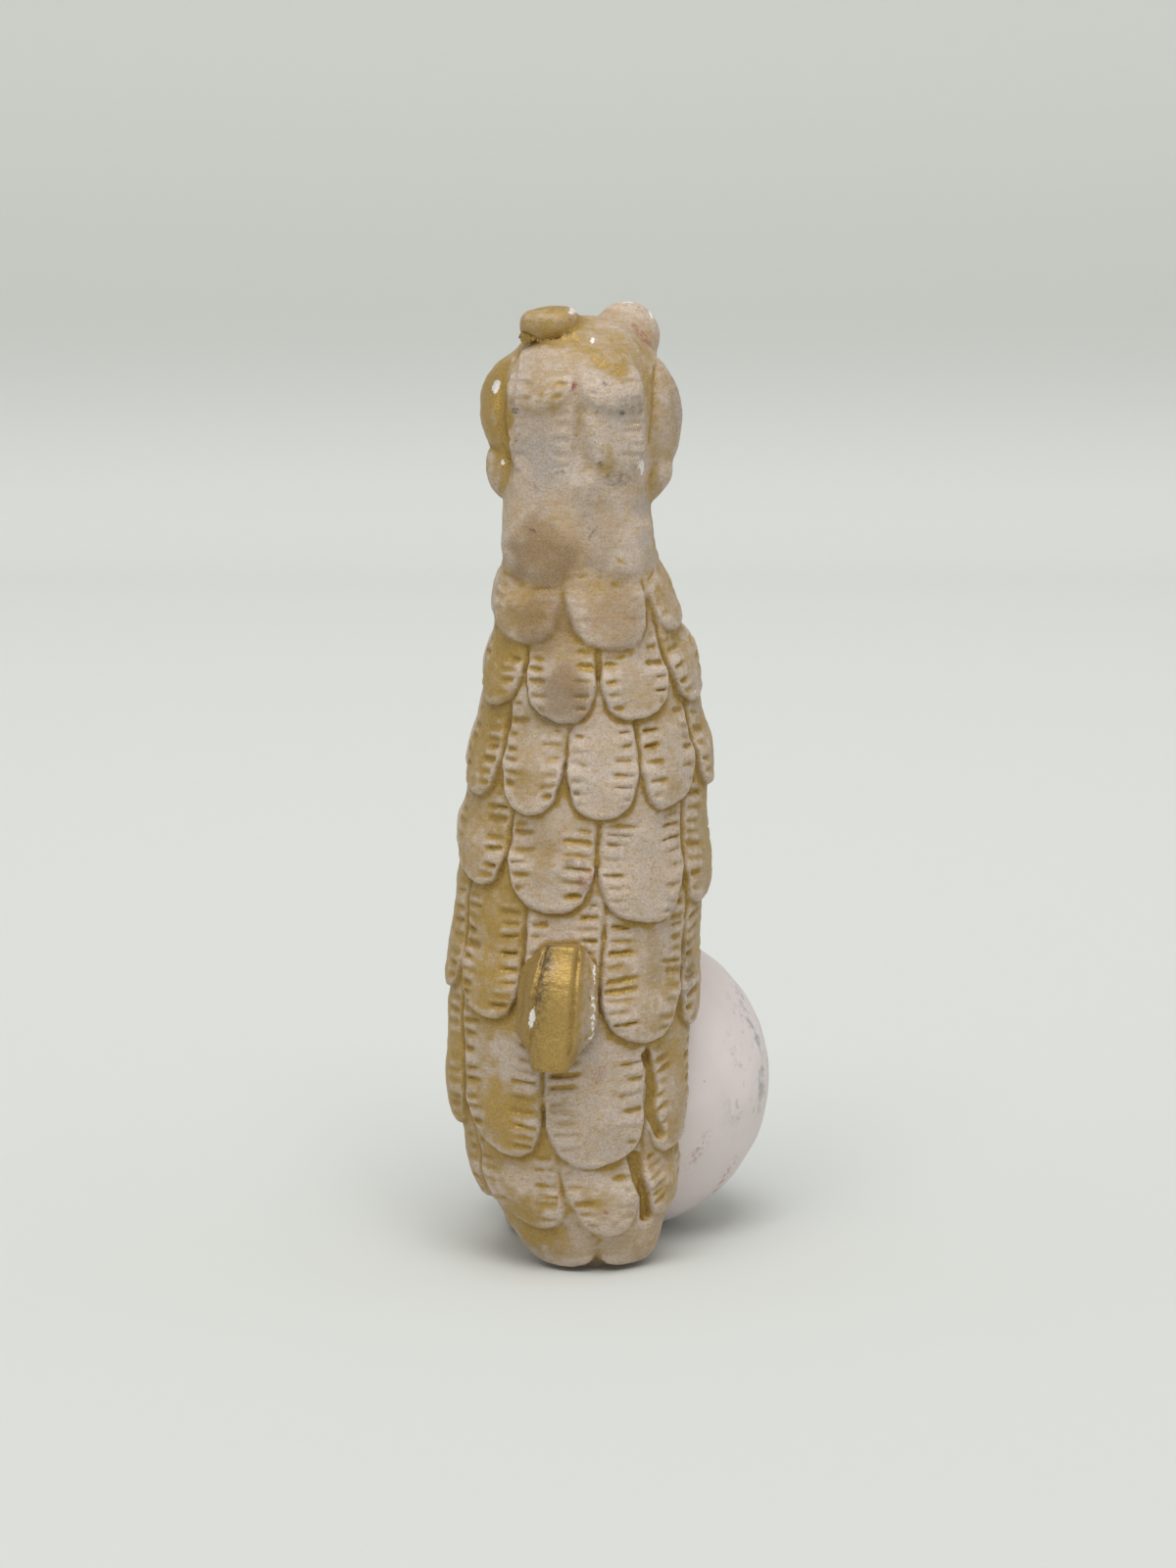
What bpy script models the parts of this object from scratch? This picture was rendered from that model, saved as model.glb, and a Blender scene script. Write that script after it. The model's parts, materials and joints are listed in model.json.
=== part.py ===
"""Clay seahorse figurine, hand-built: pressed shells with scales, fin, crest, snout, ball and tail luted on.

Metres, +Z up. The back faces -Y and the face +Y. The origin is on the floor, under the middle of the foot.
Angles round the body are in degrees from the middle of the back, and grow towards +X.
"""

import math
from collections import namedtuple

import bmesh
import bpy
from mathutils import Vector

# Joints and walls
SLIP = 0.00035  # left between two pieces of clay that are luted together
WALL = 0.0045  # pressed wall of the body, the head and the ball
VENT = 0.003  # pin hole that lets air out in the kiln
MERGE = 0.00001

# Body, as stations from the foot to the top of the neck
Station = namedtuple("Station", "height width depth shift_x shift_y")
FOOT = Station(0.0, 0.022, 0.026, 0.0015, 0.0)
ANKLE = Station(0.0085, 0.0315, 0.031, 0.0005, 0.0)
CALF = Station(0.0195, 0.0396, 0.0355, -0.0018, 0.0)
HIP = Station(0.045, 0.0476, 0.040, -0.0031, -0.0005)
BELLY = Station(0.101, 0.0472, 0.052, 0.0006, 0.006)
SHOULDER = Station(0.124, 0.0408, 0.043, 0.0012, 0.003)
NECK = Station(0.150, 0.0288, 0.028, -0.0010, -0.002)
NECK_TOP = Station(0.162, 0.0295, 0.029, -0.0022, 0.0005)
BODY = (FOOT, ANKLE, CALF, HIP, BELLY, SHOULDER, NECK, NECK_TOP)
PLATE_THICK = 0.004
COIL_RADIUS = 0.0024
COIL_ENDS = 0.018  # from the foot plate, and from the top of the neck, to the ends of a seam coil

# Head, a squarish egg that is cut off level on the neck
HEAD_CENTRE = Vector((-0.0006, 0.003, 0.178))
HEAD_HALF_WIDTH = 0.0173
HEAD_HALF_DEPTH = 0.0185
HEAD_CROWN = 0.0186  # from the middle up to the crown
HEAD_CHIN = 0.024  # from the middle down to where the egg would close
HEAD_POWER = 2.3

# Scales: each row laps over the row below. Its tips rise by sag towards the sides, and drop by lean on the right
Row = namedtuple("Row", "name tip sag lean edges")
HEAD_ROWS = (
    Row("crown_scale", 0.1790, 0.0, 0.0, (-60, -2, 46)),
    Row("nape_scale", 0.1655, 0.0, 0.0, (-60, -2, 46)),
)
BODY_ROWS = (
    Row("neck_pad", 0.1450, 0.0030, 0.0, (-78, 2, 72)),
    Row("collar_scale", 0.1310, 0.0040, 0.0, (-76, -16, 45, 103)),
    Row("shoulder_scale", 0.1155, 0.0055, 0.0, (-84, -39, 5, 49, 94)),
    Row("upper_back_scale", 0.0965, 0.0055, 0.0, (-83, -47, -11, 24, 62, 97)),
    Row("mid_back_scale", 0.0760, 0.0055, 0.0035, (-84, -38, 7, 54, 100)),
    Row("lower_back_scale", 0.0500, 0.0055, 0.0035, (-106, -66, -25, 12, 61, 103)),
    Row("hip_scale", 0.0235, 0.0055, 0.0010, (-116, -65, -13, 40, 87)),
    Row("hem_scale", 0.0085, 0.0055, 0.0, (-114, -66, -8, 39, 87)),
    Row("foot_lobe", 0.0004, 0.0008, 0.0, (-86, 6, 86)),
)
BANDED_ROWS = ("collar_scale", "shoulder_scale", "upper_back_scale", "mid_back_scale")
LAP = 0.0085  # length of a scale that is covered by the row above
HEAD_LAP = 0.0040
HEAD_SCALES_UP = 0.0125  # from the middle of the head to the top of its scales
HEAD_ROUND_TIP = 0.0050
LAP_SPARE = 0.001
RAMP = 0.0025  # length in which a scale steps up over the row below
THIN = 0.0008  # covered part of a scale
EDGE = 0.0013  # thickness of a scale at its tip
DOME = 0.0005  # fall from the middle of a scale to its sides
SIDE_GAP = 0.0009  # groove between two scales of one row
ROUND_TIP = 0.0090  # height of the rounded end of a scale
ROUND_POWER = 2.2  # 2 is an ellipse, and more is squarer
BAND_ROUND = 0.003
LOBE_ROUND = 0.003
LOBE_ROLL = 0.0014  # how far a foot lobe turns in at the floor

# Dorsal fin, on the middle scale of the lower back
FIN_ROW, FIN_SCALE = "lower_back_scale", 2
FIN_BELOW = 0.0058  # from the tips of the row above to the fin
FIN_LENGTH = 0.0242
FIN_HEIGHT = 0.0085
FIN_SIDE = 0.0003  # seat left clear on each side of the fin
FIN_EDGE = 0.0012
FIN_STRIP = 0.36  # share of its half width that is the flat ridge
FIN_END = 0.44  # share of its width that it has at both ends
FIN_WIDENS, FIN_NARROWS = 0.20, 0.30  # shares of its length, at the upper and the lower end
FIN_START = 0.35  # share of its height that it has at the upper end
FIN_RISE = 0.4  # share of its length in which it reaches its height

# Pinched ball at the front
BALL_RADIUS = 0.0328
BALL_X, BALL_Y = 0.0068, 0.0310
BALL_FLAT = 0.0006  # pressed flat where it stands
BALL_CLEAR = 108  # degrees from the back within which the ball keeps off the scales

# Pieces on the head. Their middles are sunk below its side, front or crown
CHEEK_HALF = Vector((0.0098, 0.0125, 0.0136))
CHEEK_SUNK = 0.0063
CHEEK_FORWARD, CHEEK_DROP = 0.001, 0.0010
CHEEK_ASIDE = -0.0002  # both cheeks sit a little to one side
EYE_HALF = Vector((0.0038, 0.0034, 0.0050))
EYE_ROUND, EYE_UP = 62, 7  # degrees on the cheek, from its side towards the front, and up
GILL_HALF = Vector((0.0064, 0.0058, 0.0068))
GILL_SUNK = 0.0043
GILL_BACK, GILL_DROP = 0.002, 0.0118
GILL_ASIDE = -0.0010
CREST_HALF = Vector((0.0060, 0.0034, 0.0068))
CREST_ROUND, CREST_UP = -50, 63  # degrees on the head
CREST_LIFT = 0.0004  # from the crown to the middle of the crest
CREST_TILT = 80  # degrees that it leans back
BROW_HALF = Vector((0.0072, 0.0070, 0.0078))
BROW_ROUND, BROW_UP = 135, 45
SNOUT_RADII = (0.0110, 0.0078, 0.0060, 0.0058, 0.0068, 0.0064)
SNOUT_SUNK = 0.0095
SNOUT_REACH = Vector((0.0, 0.036, -0.011))
MOUTH_RADIUS = 0.0030
MOUTH_DEPTH = 0.006

# Tail, lying on the floor round the ball
TAIL_ROOT_RADIUS = 0.0036
TAIL_TIP_RADIUS = 0.0018
TAIL_FROM, TAIL_TO = 228, 104  # degrees round the ball, from +X
TAIL_LONG_RADIUS = 0.0025
TAIL_LAID = 0.75  # share of the tail that lies along the ball
TAIL_CURL = 0.0062  # radius of the curl at the end
CURL_TURN = 300  # degrees
CURL_CLOSES = 0.42  # share of its radius that the curl loses

# Grid steps
COLUMNS_DEGREES = 8
SIDE_CROWD = 0.6  # how much closer the columns of a scale stand towards its sides
ROUND_STEPS = 48
SCALE_STEPS = 6  # one fewer than the grid lines down a scale

# Colours
GOLD = (0.42, 0.27, 0.075)
PINK = (0.50, 0.36, 0.29)
PALE = (0.60, 0.48, 0.43)
DARK = (0.06, 0.045, 0.04)


# Scene and materials
for old in list(bpy.data.objects):
    bpy.data.objects.remove(old)


def new_collection(name):
    made = bpy.data.collections.new(name)
    bpy.context.scene.collection.children.link(made)
    return made


parts = new_collection("clay_seahorse")
cutters = new_collection("cutters")
stand = bpy.data.objects.new("seahorse", None)
parts.objects.link(stand)


def clay(name, colour, roughness):
    made = bpy.data.materials.new(name)
    made.use_nodes = True
    shader = made.node_tree.nodes["Principled BSDF"]
    shader.inputs["Base Color"].default_value = (*colour, 1.0)
    shader.inputs["Roughness"].default_value = roughness
    shader.inputs["Metallic"].default_value = 0.0
    return made


gold_clay = clay("gold_washed_clay", GOLD, 0.55)
pink_clay = clay("pink_clay", PINK, 0.7)
pale_clay = clay("pale_clay", PALE, 0.6)
dark_paint = clay("dark_paint", DARK, 0.4)


def keep(name, mesh, material):
    obj = bpy.data.objects.new(name, mesh)
    parts.objects.link(obj)
    obj.parent = stand
    mesh.materials.append(material)
    mesh.shade_smooth()
    return obj


def keep_cutter(name, mesh):
    obj = bpy.data.objects.new(name, mesh)
    cutters.objects.link(obj)
    obj.hide_render = True
    obj.display_type = "WIRE"
    return obj


def cut(obj, cutter):
    modifier = obj.modifiers.new(cutter.name, "BOOLEAN")
    modifier.operation = "DIFFERENCE"
    modifier.solver = "EXACT"
    modifier.object = cutter


def finish_mesh(name, bm):
    bmesh.ops.remove_doubles(bm, verts=bm.verts, dist=MERGE)
    bmesh.ops.recalc_face_normals(bm, faces=bm.faces)
    if bm.calc_volume(signed=True) < 0:
        bmesh.ops.reverse_faces(bm, faces=bm.faces)
    mesh = bpy.data.meshes.new(name)
    bm.to_mesh(mesh)
    bm.free()
    return mesh


def slab(name, columns, rows, place):
    """A grid extruded into a slab, with each corner put in its place by place(across, down, outer)."""
    bm = bmesh.new()
    bmesh.ops.create_grid(bm, x_segments=columns, y_segments=rows, size=1)
    made = bmesh.ops.extrude_face_region(bm, geom=list(bm.faces))
    outer = set(made["geom"])
    for vertex in bm.verts:
        across, down = vertex.co.x, (1 - vertex.co.y) / 2
        vertex.co = place(across, down, vertex in outer)
    return finish_mesh(name, bm)


def ball_mesh(name, half, centre, place=None, steps=16):
    """A UV sphere stretched to its half sizes, or with each corner moved by place."""
    bm = bmesh.new()
    bmesh.ops.create_uvsphere(bm, u_segments=steps, v_segments=steps * 5 // 8, radius=1)
    for vertex in bm.verts:
        if place:
            vertex.co = place(vertex.co)
        else:
            vertex.co = Vector([centre[i] + half[i] * vertex.co[i] for i in range(3)])
    return finish_mesh(name, bm)


def tube_mesh(name, points, radii):
    """A round bar along points, with filled ends, turned into a mesh."""
    curve = bpy.data.curves.new(name, "CURVE")
    curve.dimensions = "3D"
    curve.bevel_depth = 1.0
    curve.bevel_resolution = 2
    curve.use_fill_caps = True
    spline = curve.splines.new("POLY")
    spline.points.add(len(points) - 1)
    for point, at, radius in zip(spline.points, points, radii):
        point.co = (*at, 1.0)
        point.radius = radius
    holder = bpy.data.objects.new(name, curve)
    cutters.objects.link(holder)
    bm = bmesh.new()
    bm.from_mesh(holder.to_mesh())
    holder.to_mesh_clear()
    bpy.data.objects.remove(holder)
    return finish_mesh(name, bm)


# Body surface
def through(stations, height, field):
    """A smooth curve through one field of the stations."""
    at = [s.height for s in stations]
    value = [getattr(s, field) for s in stations]
    last = len(at) - 1
    i = max(0, min(last - 1, sum(1 for z in at if z <= height) - 1))
    slopes = []
    for j in (i, i + 1):
        lower, upper = max(0, j - 1), min(last, j + 1)
        slopes.append((value[upper] - value[lower]) / (at[upper] - at[lower]))
    span = at[i + 1] - at[i]
    t = max(0.0, min(1.0, (height - at[i]) / span))
    start = value[i] * (1 + 2 * t) * (1 - t) ** 2 + slopes[0] * span * t * (1 - t) ** 2
    end = value[i + 1] * t * t * (3 - 2 * t) + slopes[1] * span * t * t * (t - 1)
    return start + end


def body_point(angle, height, out):
    """A point that is out from the bare body, level with it."""
    turn = math.radians(angle)
    wide = through(BODY, height, "width") / 2 + out
    deep = through(BODY, height, "depth") / 2 + out
    x = through(BODY, height, "shift_x") + wide * math.sin(turn)
    y = through(BODY, height, "shift_y") - deep * math.cos(turn)
    return Vector((x, y, height))


def head_latitude(height):
    """Degrees up from the middle of the head to where its bare surface is at this height."""
    rise = height - HEAD_CENTRE.z
    reach = HEAD_CROWN if rise > 0 else HEAD_CHIN
    share = min(1.0, abs(rise) / reach) ** (HEAD_POWER / 2)
    return math.degrees(math.copysign(math.asin(share), rise))


def head_round(angle, latitude, out):
    """A point that is out from the bare head, in degrees round and degrees up."""
    turn, up = math.radians(angle), math.radians(latitude)
    level = max(0.0, math.cos(up)) ** (2 / HEAD_POWER)
    lift = abs(math.sin(up)) ** (2 / HEAD_POWER)
    reach = HEAD_CROWN if up > 0 else -HEAD_CHIN
    grown = reach + math.copysign(1, reach) * out
    x = (HEAD_HALF_WIDTH + out) * level * math.sin(turn)
    y = -(HEAD_HALF_DEPTH + out) * level * math.cos(turn)
    return HEAD_CENTRE + Vector((x, y, grown * lift))


def head_point(angle, height, out):
    return head_round(angle, head_latitude(height), out)


# Shells of the body and the head
def body_shell(name, middle, material):
    def place(across, down, outer):
        height = NECK_TOP.height * (1 - down**1.25)
        at = body_point(middle + 90 * across, height, 0.0 if outer else -WALL)
        seam = body_point(middle + 90, height, 0.0).y
        away = SLIP / 2 if abs(across) > 0.999 else 0.0
        side = -1 if middle == 0 else 1
        return Vector((at.x, seam + side * away if away else at.y, at.z))

    return keep(name, slab(name, 16, 22, place), material)


def head_shell(name, middle, material):
    chin = head_latitude(NECK_TOP.height + SLIP)

    def place(across, down, outer):
        up = 90 + (chin - 90) * down
        at = head_round(middle + 90 * across, up, 0.0 if outer else -WALL)
        if down > 0.999:
            at.z = NECK_TOP.height + SLIP
        side = -1 if middle == 0 else 1
        if abs(across) > 0.999 or down < 0.001:
            at.y = HEAD_CENTRE.y + side * SLIP / 2
        return at

    return keep(name, slab(name, 16, 10, place), material)


body_back = body_shell("body_back_shell", 0, gold_clay)
body_front = body_shell("body_front_shell", 180, pink_clay)
head_shell("head_back_shell", 0, gold_clay)
head_shell("head_front_shell", 180, pink_clay)

# Foot plate, inside the foot, with a vent
bm = bmesh.new()
bmesh.ops.create_cone(bm, cap_ends=True, segments=ROUND_STEPS, radius1=1, radius2=1, depth=1)
for vertex in bm.verts:
    angle = math.degrees(math.atan2(vertex.co.x, -vertex.co.y))
    vertex.co = body_point(angle, PLATE_THICK * (vertex.co.z + 0.5), -WALL - SLIP)
foot_plate = keep("foot_plate", finish_mesh("foot_plate", bm), pink_clay)


def pin_hole(name, at, along, length):
    bm = bmesh.new()
    bmesh.ops.create_cone(bm, cap_ends=True, segments=16, radius1=VENT / 2, radius2=VENT / 2, depth=length)
    spin = Vector((0, 0, 1)).rotation_difference(Vector(along)).to_matrix()
    for vertex in bm.verts:
        vertex.co = spin @ vertex.co + Vector(at)
    return keep_cutter(name, finish_mesh(name, bm))


vent_back = (FOOT.depth / 2 - WALL - SLIP) / 2
cut(foot_plate, pin_hole("foot_vent", (0, -vent_back, PLATE_THICK / 2), (0, 0, 1), PLATE_THICK * 3))
ball_wall = body_point(180, BALL_RADIUS, -WALL / 2)
cut(body_front, pin_hole("ball_vent", ball_wall, (0, 1, 0), WALL * 4))

# Coils of clay along the inside of the seams
for side, angle in (("left", -90), ("right", 90)):
    low = PLATE_THICK + COIL_ENDS
    high = NECK_TOP.height - COIL_ENDS
    heights = [low + (high - low) * i / 15 for i in range(16)]
    inside = -WALL - 2 * SLIP - COIL_RADIUS
    points = [body_point(angle, height, inside) for height in heights]
    name = "seam_coil_" + side
    keep(name, tube_mesh(name, points, [COIL_RADIUS] * len(points)), pink_clay)


# Scales
def smooth_step(t):
    t = max(0.0, min(1.0, t))
    return t * t * (3 - 2 * t)


def row_tip(row, angle):
    """Height of the lowest that a scale of this row reaches, at this angle."""
    turn = math.radians(angle)
    return row.tip + row.sag * (1 - max(0.0, math.cos(turn))) - row.lean * math.sin(turn)


class Laps:
    """Heights of the two faces of the scales in one row, between the row above and the row below."""

    def __init__(self, row, above, top, lap, lapped):
        self.row, self.above, self.top = row, above, top
        self.lap, self.lapped = lap, lapped

    def upper_end(self, angle):
        return row_tip(self.above, angle) + self.lap if self.above else self.top

    def thin_to(self, angle):
        return row_tip(self.above, angle) - LAP_SPARE if self.above else self.top - LAP_SPARE

    def lines(self, angle, low):
        """Heights of the grid lines down a scale: one at each place where a face bends."""
        top, thin_to = self.upper_end(angle), self.thin_to(angle)
        if not self.lapped:
            return [top, (top + thin_to) / 2] + [thin_to + (low - thin_to) * i / 4 for i in range(5)]
        step_up = row_tip(self.row, angle) + self.lap + LAP_SPARE
        between = (thin_to + step_up + RAMP) / 2
        return [top, thin_to, between, step_up + RAMP, step_up, (step_up + low) / 2, low]

    def under(self, angle, height):
        if not self.lapped:
            return SLIP
        over = row_tip(self.row, angle) + self.lap + LAP_SPARE + RAMP - height
        return SLIP + (THIN + SLIP) * smooth_step(over / RAMP)

    def over(self, angle, height, across):
        thin_to = self.thin_to(angle)
        tip = row_tip(self.row, angle)
        share = smooth_step((thin_to - height) / (thin_to - tip))
        covered = smooth_step((thin_to - height) / RAMP)
        full = SLIP + THIN + SLIP + EDGE
        thick = SLIP + THIN + (full - SLIP - THIN) * share
        least = self.under(angle, height) + THIN + (EDGE - THIN) * covered
        return max(thick, least) - DOME * covered * abs(across) ** 3


def scale(name, laps, surface, first, last, round_end, material, roll=0.0):
    """One scale between two angles: straight sides, a rounded lower end and a thin upper end."""
    middle, half = (first + last) / 2, (last - first) / 2
    level = laps.upper_end(middle) - laps.lap
    chord = (surface(middle, level, 0.0) - surface(middle + 1, level, 0.0)).length
    half -= SIDE_GAP / 2 / chord
    columns = max(6, round(2 * half / COLUMNS_DEGREES))

    def place(across, down, outer):
        across += SIDE_CROWD * (math.sin(across * math.pi / 2) - across)
        angle = middle + half * across
        bulge = 1 - (1 - min(1.0, abs(across)) ** ROUND_POWER) ** (1 / ROUND_POWER)
        low = row_tip(laps.row, angle) + round_end * bulge
        height = laps.lines(angle, low)[round(down * SCALE_STEPS)]
        out = laps.over(angle, height, across) if outer else laps.under(angle, height)
        if outer and roll:
            out -= roll * smooth_step(1 - (height - low) / (2 * round_end))
        return surface(angle, height, out)

    return keep(name, slab(name, columns, SCALE_STEPS, place), material)


def row_of_scales(laps, surface, round_end, material, roll=0.0):
    edges = laps.row.edges
    for i in range(len(edges) - 1):
        name = laps.row.name + "_" + str(i + 1)
        scale(name, laps, surface, edges[i], edges[i + 1], round_end, material, roll)


body_laps = {}
above = None
for row in BODY_ROWS:
    is_foot = row is BODY_ROWS[-1]
    laps = Laps(row, above, NECK_TOP.height - 4 * SLIP, LAP, not is_foot)
    body_laps[row.name] = laps
    row_of_scales(
        laps,
        body_point,
        LOBE_ROUND if is_foot else ROUND_TIP,
        pink_clay if is_foot else gold_clay,
        LOBE_ROLL if is_foot else 0.0,
    )
    above = row

above = None
for row in HEAD_ROWS:
    laps = Laps(row, above, HEAD_CENTRE.z + HEAD_SCALES_UP, HEAD_LAP, row is not HEAD_ROWS[-1])
    row_of_scales(laps, head_point, HEAD_ROUND_TIP, gold_clay)
    above = row

# Belly bands, round the front from the last scale of a row to its first
for number, name in enumerate(BANDED_ROWS, 1):
    laps = body_laps[name]
    edges = laps.row.edges
    scale(f"belly_band_{number}", laps, body_point, edges[-1], edges[0] + 360, BAND_ROUND, pale_clay)

# Dorsal fin, a tab with a flat ridge, narrow at both ends
fin_laps = body_laps[FIN_ROW]
fin_edges = fin_laps.row.edges[FIN_SCALE : FIN_SCALE + 2]
fin_middle = sum(fin_edges) / 2
fin_top = row_tip(fin_laps.above, fin_middle) - FIN_BELOW
fin_chord = (body_point(fin_middle, fin_top, 0.0) - body_point(fin_middle + 1, fin_top, 0.0)).length
fin_half = (fin_edges[1] - fin_edges[0]) / 2 - (SIDE_GAP / 2 + FIN_SIDE) / fin_chord


def fin_place(across, down, outer):
    spread = FIN_END + (1 - FIN_END) * smooth_step(min(down / FIN_WIDENS, (1 - down) / FIN_NARROWS))
    angle = fin_middle + fin_half * across * spread
    height = fin_top - FIN_LENGTH * down
    on_scale = max(height, row_tip(fin_laps.row, angle))
    seat = fin_laps.over(angle, on_scale, 0.0) + SLIP
    if not outer:
        return body_point(angle, height, seat)
    ridge = smooth_step((1 - abs(across)) * spread / (spread - FIN_STRIP))
    rise = FIN_START + (1 - FIN_START) * smooth_step(down / FIN_RISE)
    return body_point(angle, height, seat + FIN_EDGE + (FIN_HEIGHT - FIN_EDGE) * ridge * rise)


keep("dorsal_fin", slab("dorsal_fin", 10, 10, fin_place), gold_clay)


# Ball, pinched hollow and cut to sit on the body and clear of its scales
def closed_form(name, out_at):
    """The body from below the floor to the top of the neck, grown by out_at(angle)."""
    bm = bmesh.new()
    bmesh.ops.create_grid(bm, x_segments=ROUND_STEPS, y_segments=30, size=1)
    for vertex in bm.verts:
        angle = 180 * vertex.co.x
        vertex.co = body_point(angle, NECK_TOP.height * (vertex.co.y + 1) / 2, out_at(angle))
        if vertex.co.z < MERGE:
            vertex.co.z = -WALL
    bmesh.ops.remove_doubles(bm, verts=bm.verts, dist=MERGE)
    bmesh.ops.holes_fill(bm, edges=bm.edges)
    return keep_cutter(name, finish_mesh(name, bm))


scale_top = SLIP + THIN + SLIP + EDGE + SLIP


def dressed(angle):
    return SLIP + (scale_top - SLIP) * smooth_step((BALL_CLEAR + 6 - abs(angle)) / 6)


def ball_place(unit):
    at = Vector(ball_at) + BALL_RADIUS * unit
    at.z = max(at.z, 0.0)
    return at


ball_at = (BALL_X, BALL_Y, BALL_RADIUS - BALL_FLAT)
ball = keep("pinched_ball", ball_mesh("pinched_ball", None, None, ball_place, 26), pale_clay)
hollow = BALL_RADIUS - WALL
hollow_mesh = ball_mesh("ball_hollow", (hollow,) * 3, ball_at, None, 20)
cut(ball, keep_cutter("ball_hollow", hollow_mesh))
cut(ball, closed_form("dressed_body", dressed))


# Pieces on the head, cut to sit on it
def head_form(name, out_at):
    """The whole egg of the head, grown by out_at(angle)."""

    def place(unit):
        angle = math.degrees(math.atan2(unit.x, -unit.y))
        latitude = math.degrees(math.asin(max(-1.0, min(1.0, unit.z))))
        return head_round(angle, latitude, out_at(angle))

    return keep_cutter(name, ball_mesh(name, None, None, place, 36))


def dressed_head(angle):
    """Clear of the head scales."""
    first, last = HEAD_ROWS[0].edges[0], HEAD_ROWS[0].edges[-1]
    past = max(first - angle, angle - last)
    return SLIP + (scale_top - SLIP) * smooth_step(1.5 - past / 8)


bare_head = head_form("bare_head", lambda angle: SLIP)
scaled_head = head_form("scaled_head", dressed_head)
neck_form = closed_form("neck_form", lambda angle: SLIP)

eye_turn, eye_rise = math.radians(EYE_ROUND), math.radians(EYE_UP)
for side, sign in (("left", -1), ("right", 1)):
    cheek_side = CHEEK_ASIDE + sign * (HEAD_HALF_WIDTH - CHEEK_SUNK)
    cheek_at = HEAD_CENTRE + Vector((cheek_side, CHEEK_FORWARD, -CHEEK_DROP))
    cheek = keep("cheek_" + side, ball_mesh("cheek_" + side, CHEEK_HALF, cheek_at), gold_clay)
    cut(cheek, scaled_head)

    grown = CHEEK_HALF + Vector((SLIP, SLIP, SLIP))
    cheek_form = keep_cutter("cheek_form_" + side, ball_mesh("cheek_form_" + side, grown, cheek_at))
    eye_out = sign * CHEEK_HALF.x * math.cos(eye_turn) * math.cos(eye_rise)
    eye_forward = CHEEK_HALF.y * math.sin(eye_turn) * math.cos(eye_rise)
    eye_at = cheek_at + Vector((eye_out, eye_forward, CHEEK_HALF.z * math.sin(eye_rise)))
    eye = keep("eye_" + side, ball_mesh("eye_" + side, EYE_HALF, eye_at, None, 12), dark_paint)
    cut(eye, cheek_form)
    cut(eye, bare_head)

    gill_side = GILL_ASIDE + sign * (HEAD_HALF_WIDTH - GILL_SUNK)
    gill_at = HEAD_CENTRE + Vector((gill_side, -GILL_BACK, -GILL_DROP))
    gill = keep("gill_lobe_" + side, ball_mesh("gill_lobe_" + side, GILL_HALF, gill_at), gold_clay)
    cut(gill, scaled_head)
    cut(gill, neck_form)
    cut(gill, cheek_form)

crest_at = head_round(CREST_ROUND, CREST_UP, CREST_LIFT)
crest_turn = math.radians(CREST_TILT)


def crest_place(unit):
    x, y, z = (CREST_HALF[i] * unit[i] for i in range(3))
    back = y * math.cos(crest_turn) - z * math.sin(crest_turn)
    up = y * math.sin(crest_turn) + z * math.cos(crest_turn)
    return crest_at + Vector((x, back, up))


crest = keep("crest_tab", ball_mesh("crest_tab", None, None, crest_place), gold_clay)
cut(crest, bare_head)
cut(crest, bpy.data.objects["cheek_form_left"])

brow_at = head_round(BROW_ROUND, BROW_UP, 0.0)
brow = keep("brow_knob", ball_mesh("brow_knob", BROW_HALF, brow_at), pale_clay)
cut(brow, bare_head)
cut(brow, bpy.data.objects["cheek_form_right"])

steps = len(SNOUT_RADII) - 1
snout_from = HEAD_CENTRE + Vector((0.0, HEAD_HALF_DEPTH - SNOUT_SUNK, 0.0))
snout_points = [snout_from + SNOUT_REACH * i / steps for i in range(steps + 1)]
snout = keep("snout", tube_mesh("snout", snout_points, SNOUT_RADII), pale_clay)
cut(snout, bare_head)
cut(snout, bpy.data.objects["cheek_form_left"])
cut(snout, bpy.data.objects["cheek_form_right"])
tip, before = snout_points[-1], snout_points[-2]
bm = bmesh.new()
bmesh.ops.create_cone(
    bm, cap_ends=True, segments=20, radius1=MOUTH_RADIUS / 2, radius2=MOUTH_RADIUS, depth=MOUTH_DEPTH * 2
)
spin = Vector((0, 0, 1)).rotation_difference(tip - before).to_matrix()
for vertex in bm.verts:
    vertex.co = spin @ vertex.co + tip
cut(snout, keep_cutter("mouth", finish_mesh("mouth", bm)))


# Tail, round the foot of the ball, with a curl at the end
def tail_radius(share):
    thinned = TAIL_ROOT_RADIUS + (TAIL_LONG_RADIUS - TAIL_ROOT_RADIUS) * smooth_step(share * 2.2)
    return thinned + (TAIL_TIP_RADIUS - TAIL_LONG_RADIUS) * max(0.0, share * 1.6 - 0.6)


def tail_point(degrees, radius):
    """Lying on the floor and against the ball."""
    reach = 2 * math.sqrt((BALL_RADIUS - BALL_FLAT / 2) * (radius + SLIP)) + 2 * SLIP
    turn = math.radians(degrees)
    return Vector((BALL_X + reach * math.cos(turn), BALL_Y + reach * math.sin(turn), radius + SLIP))


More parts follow.
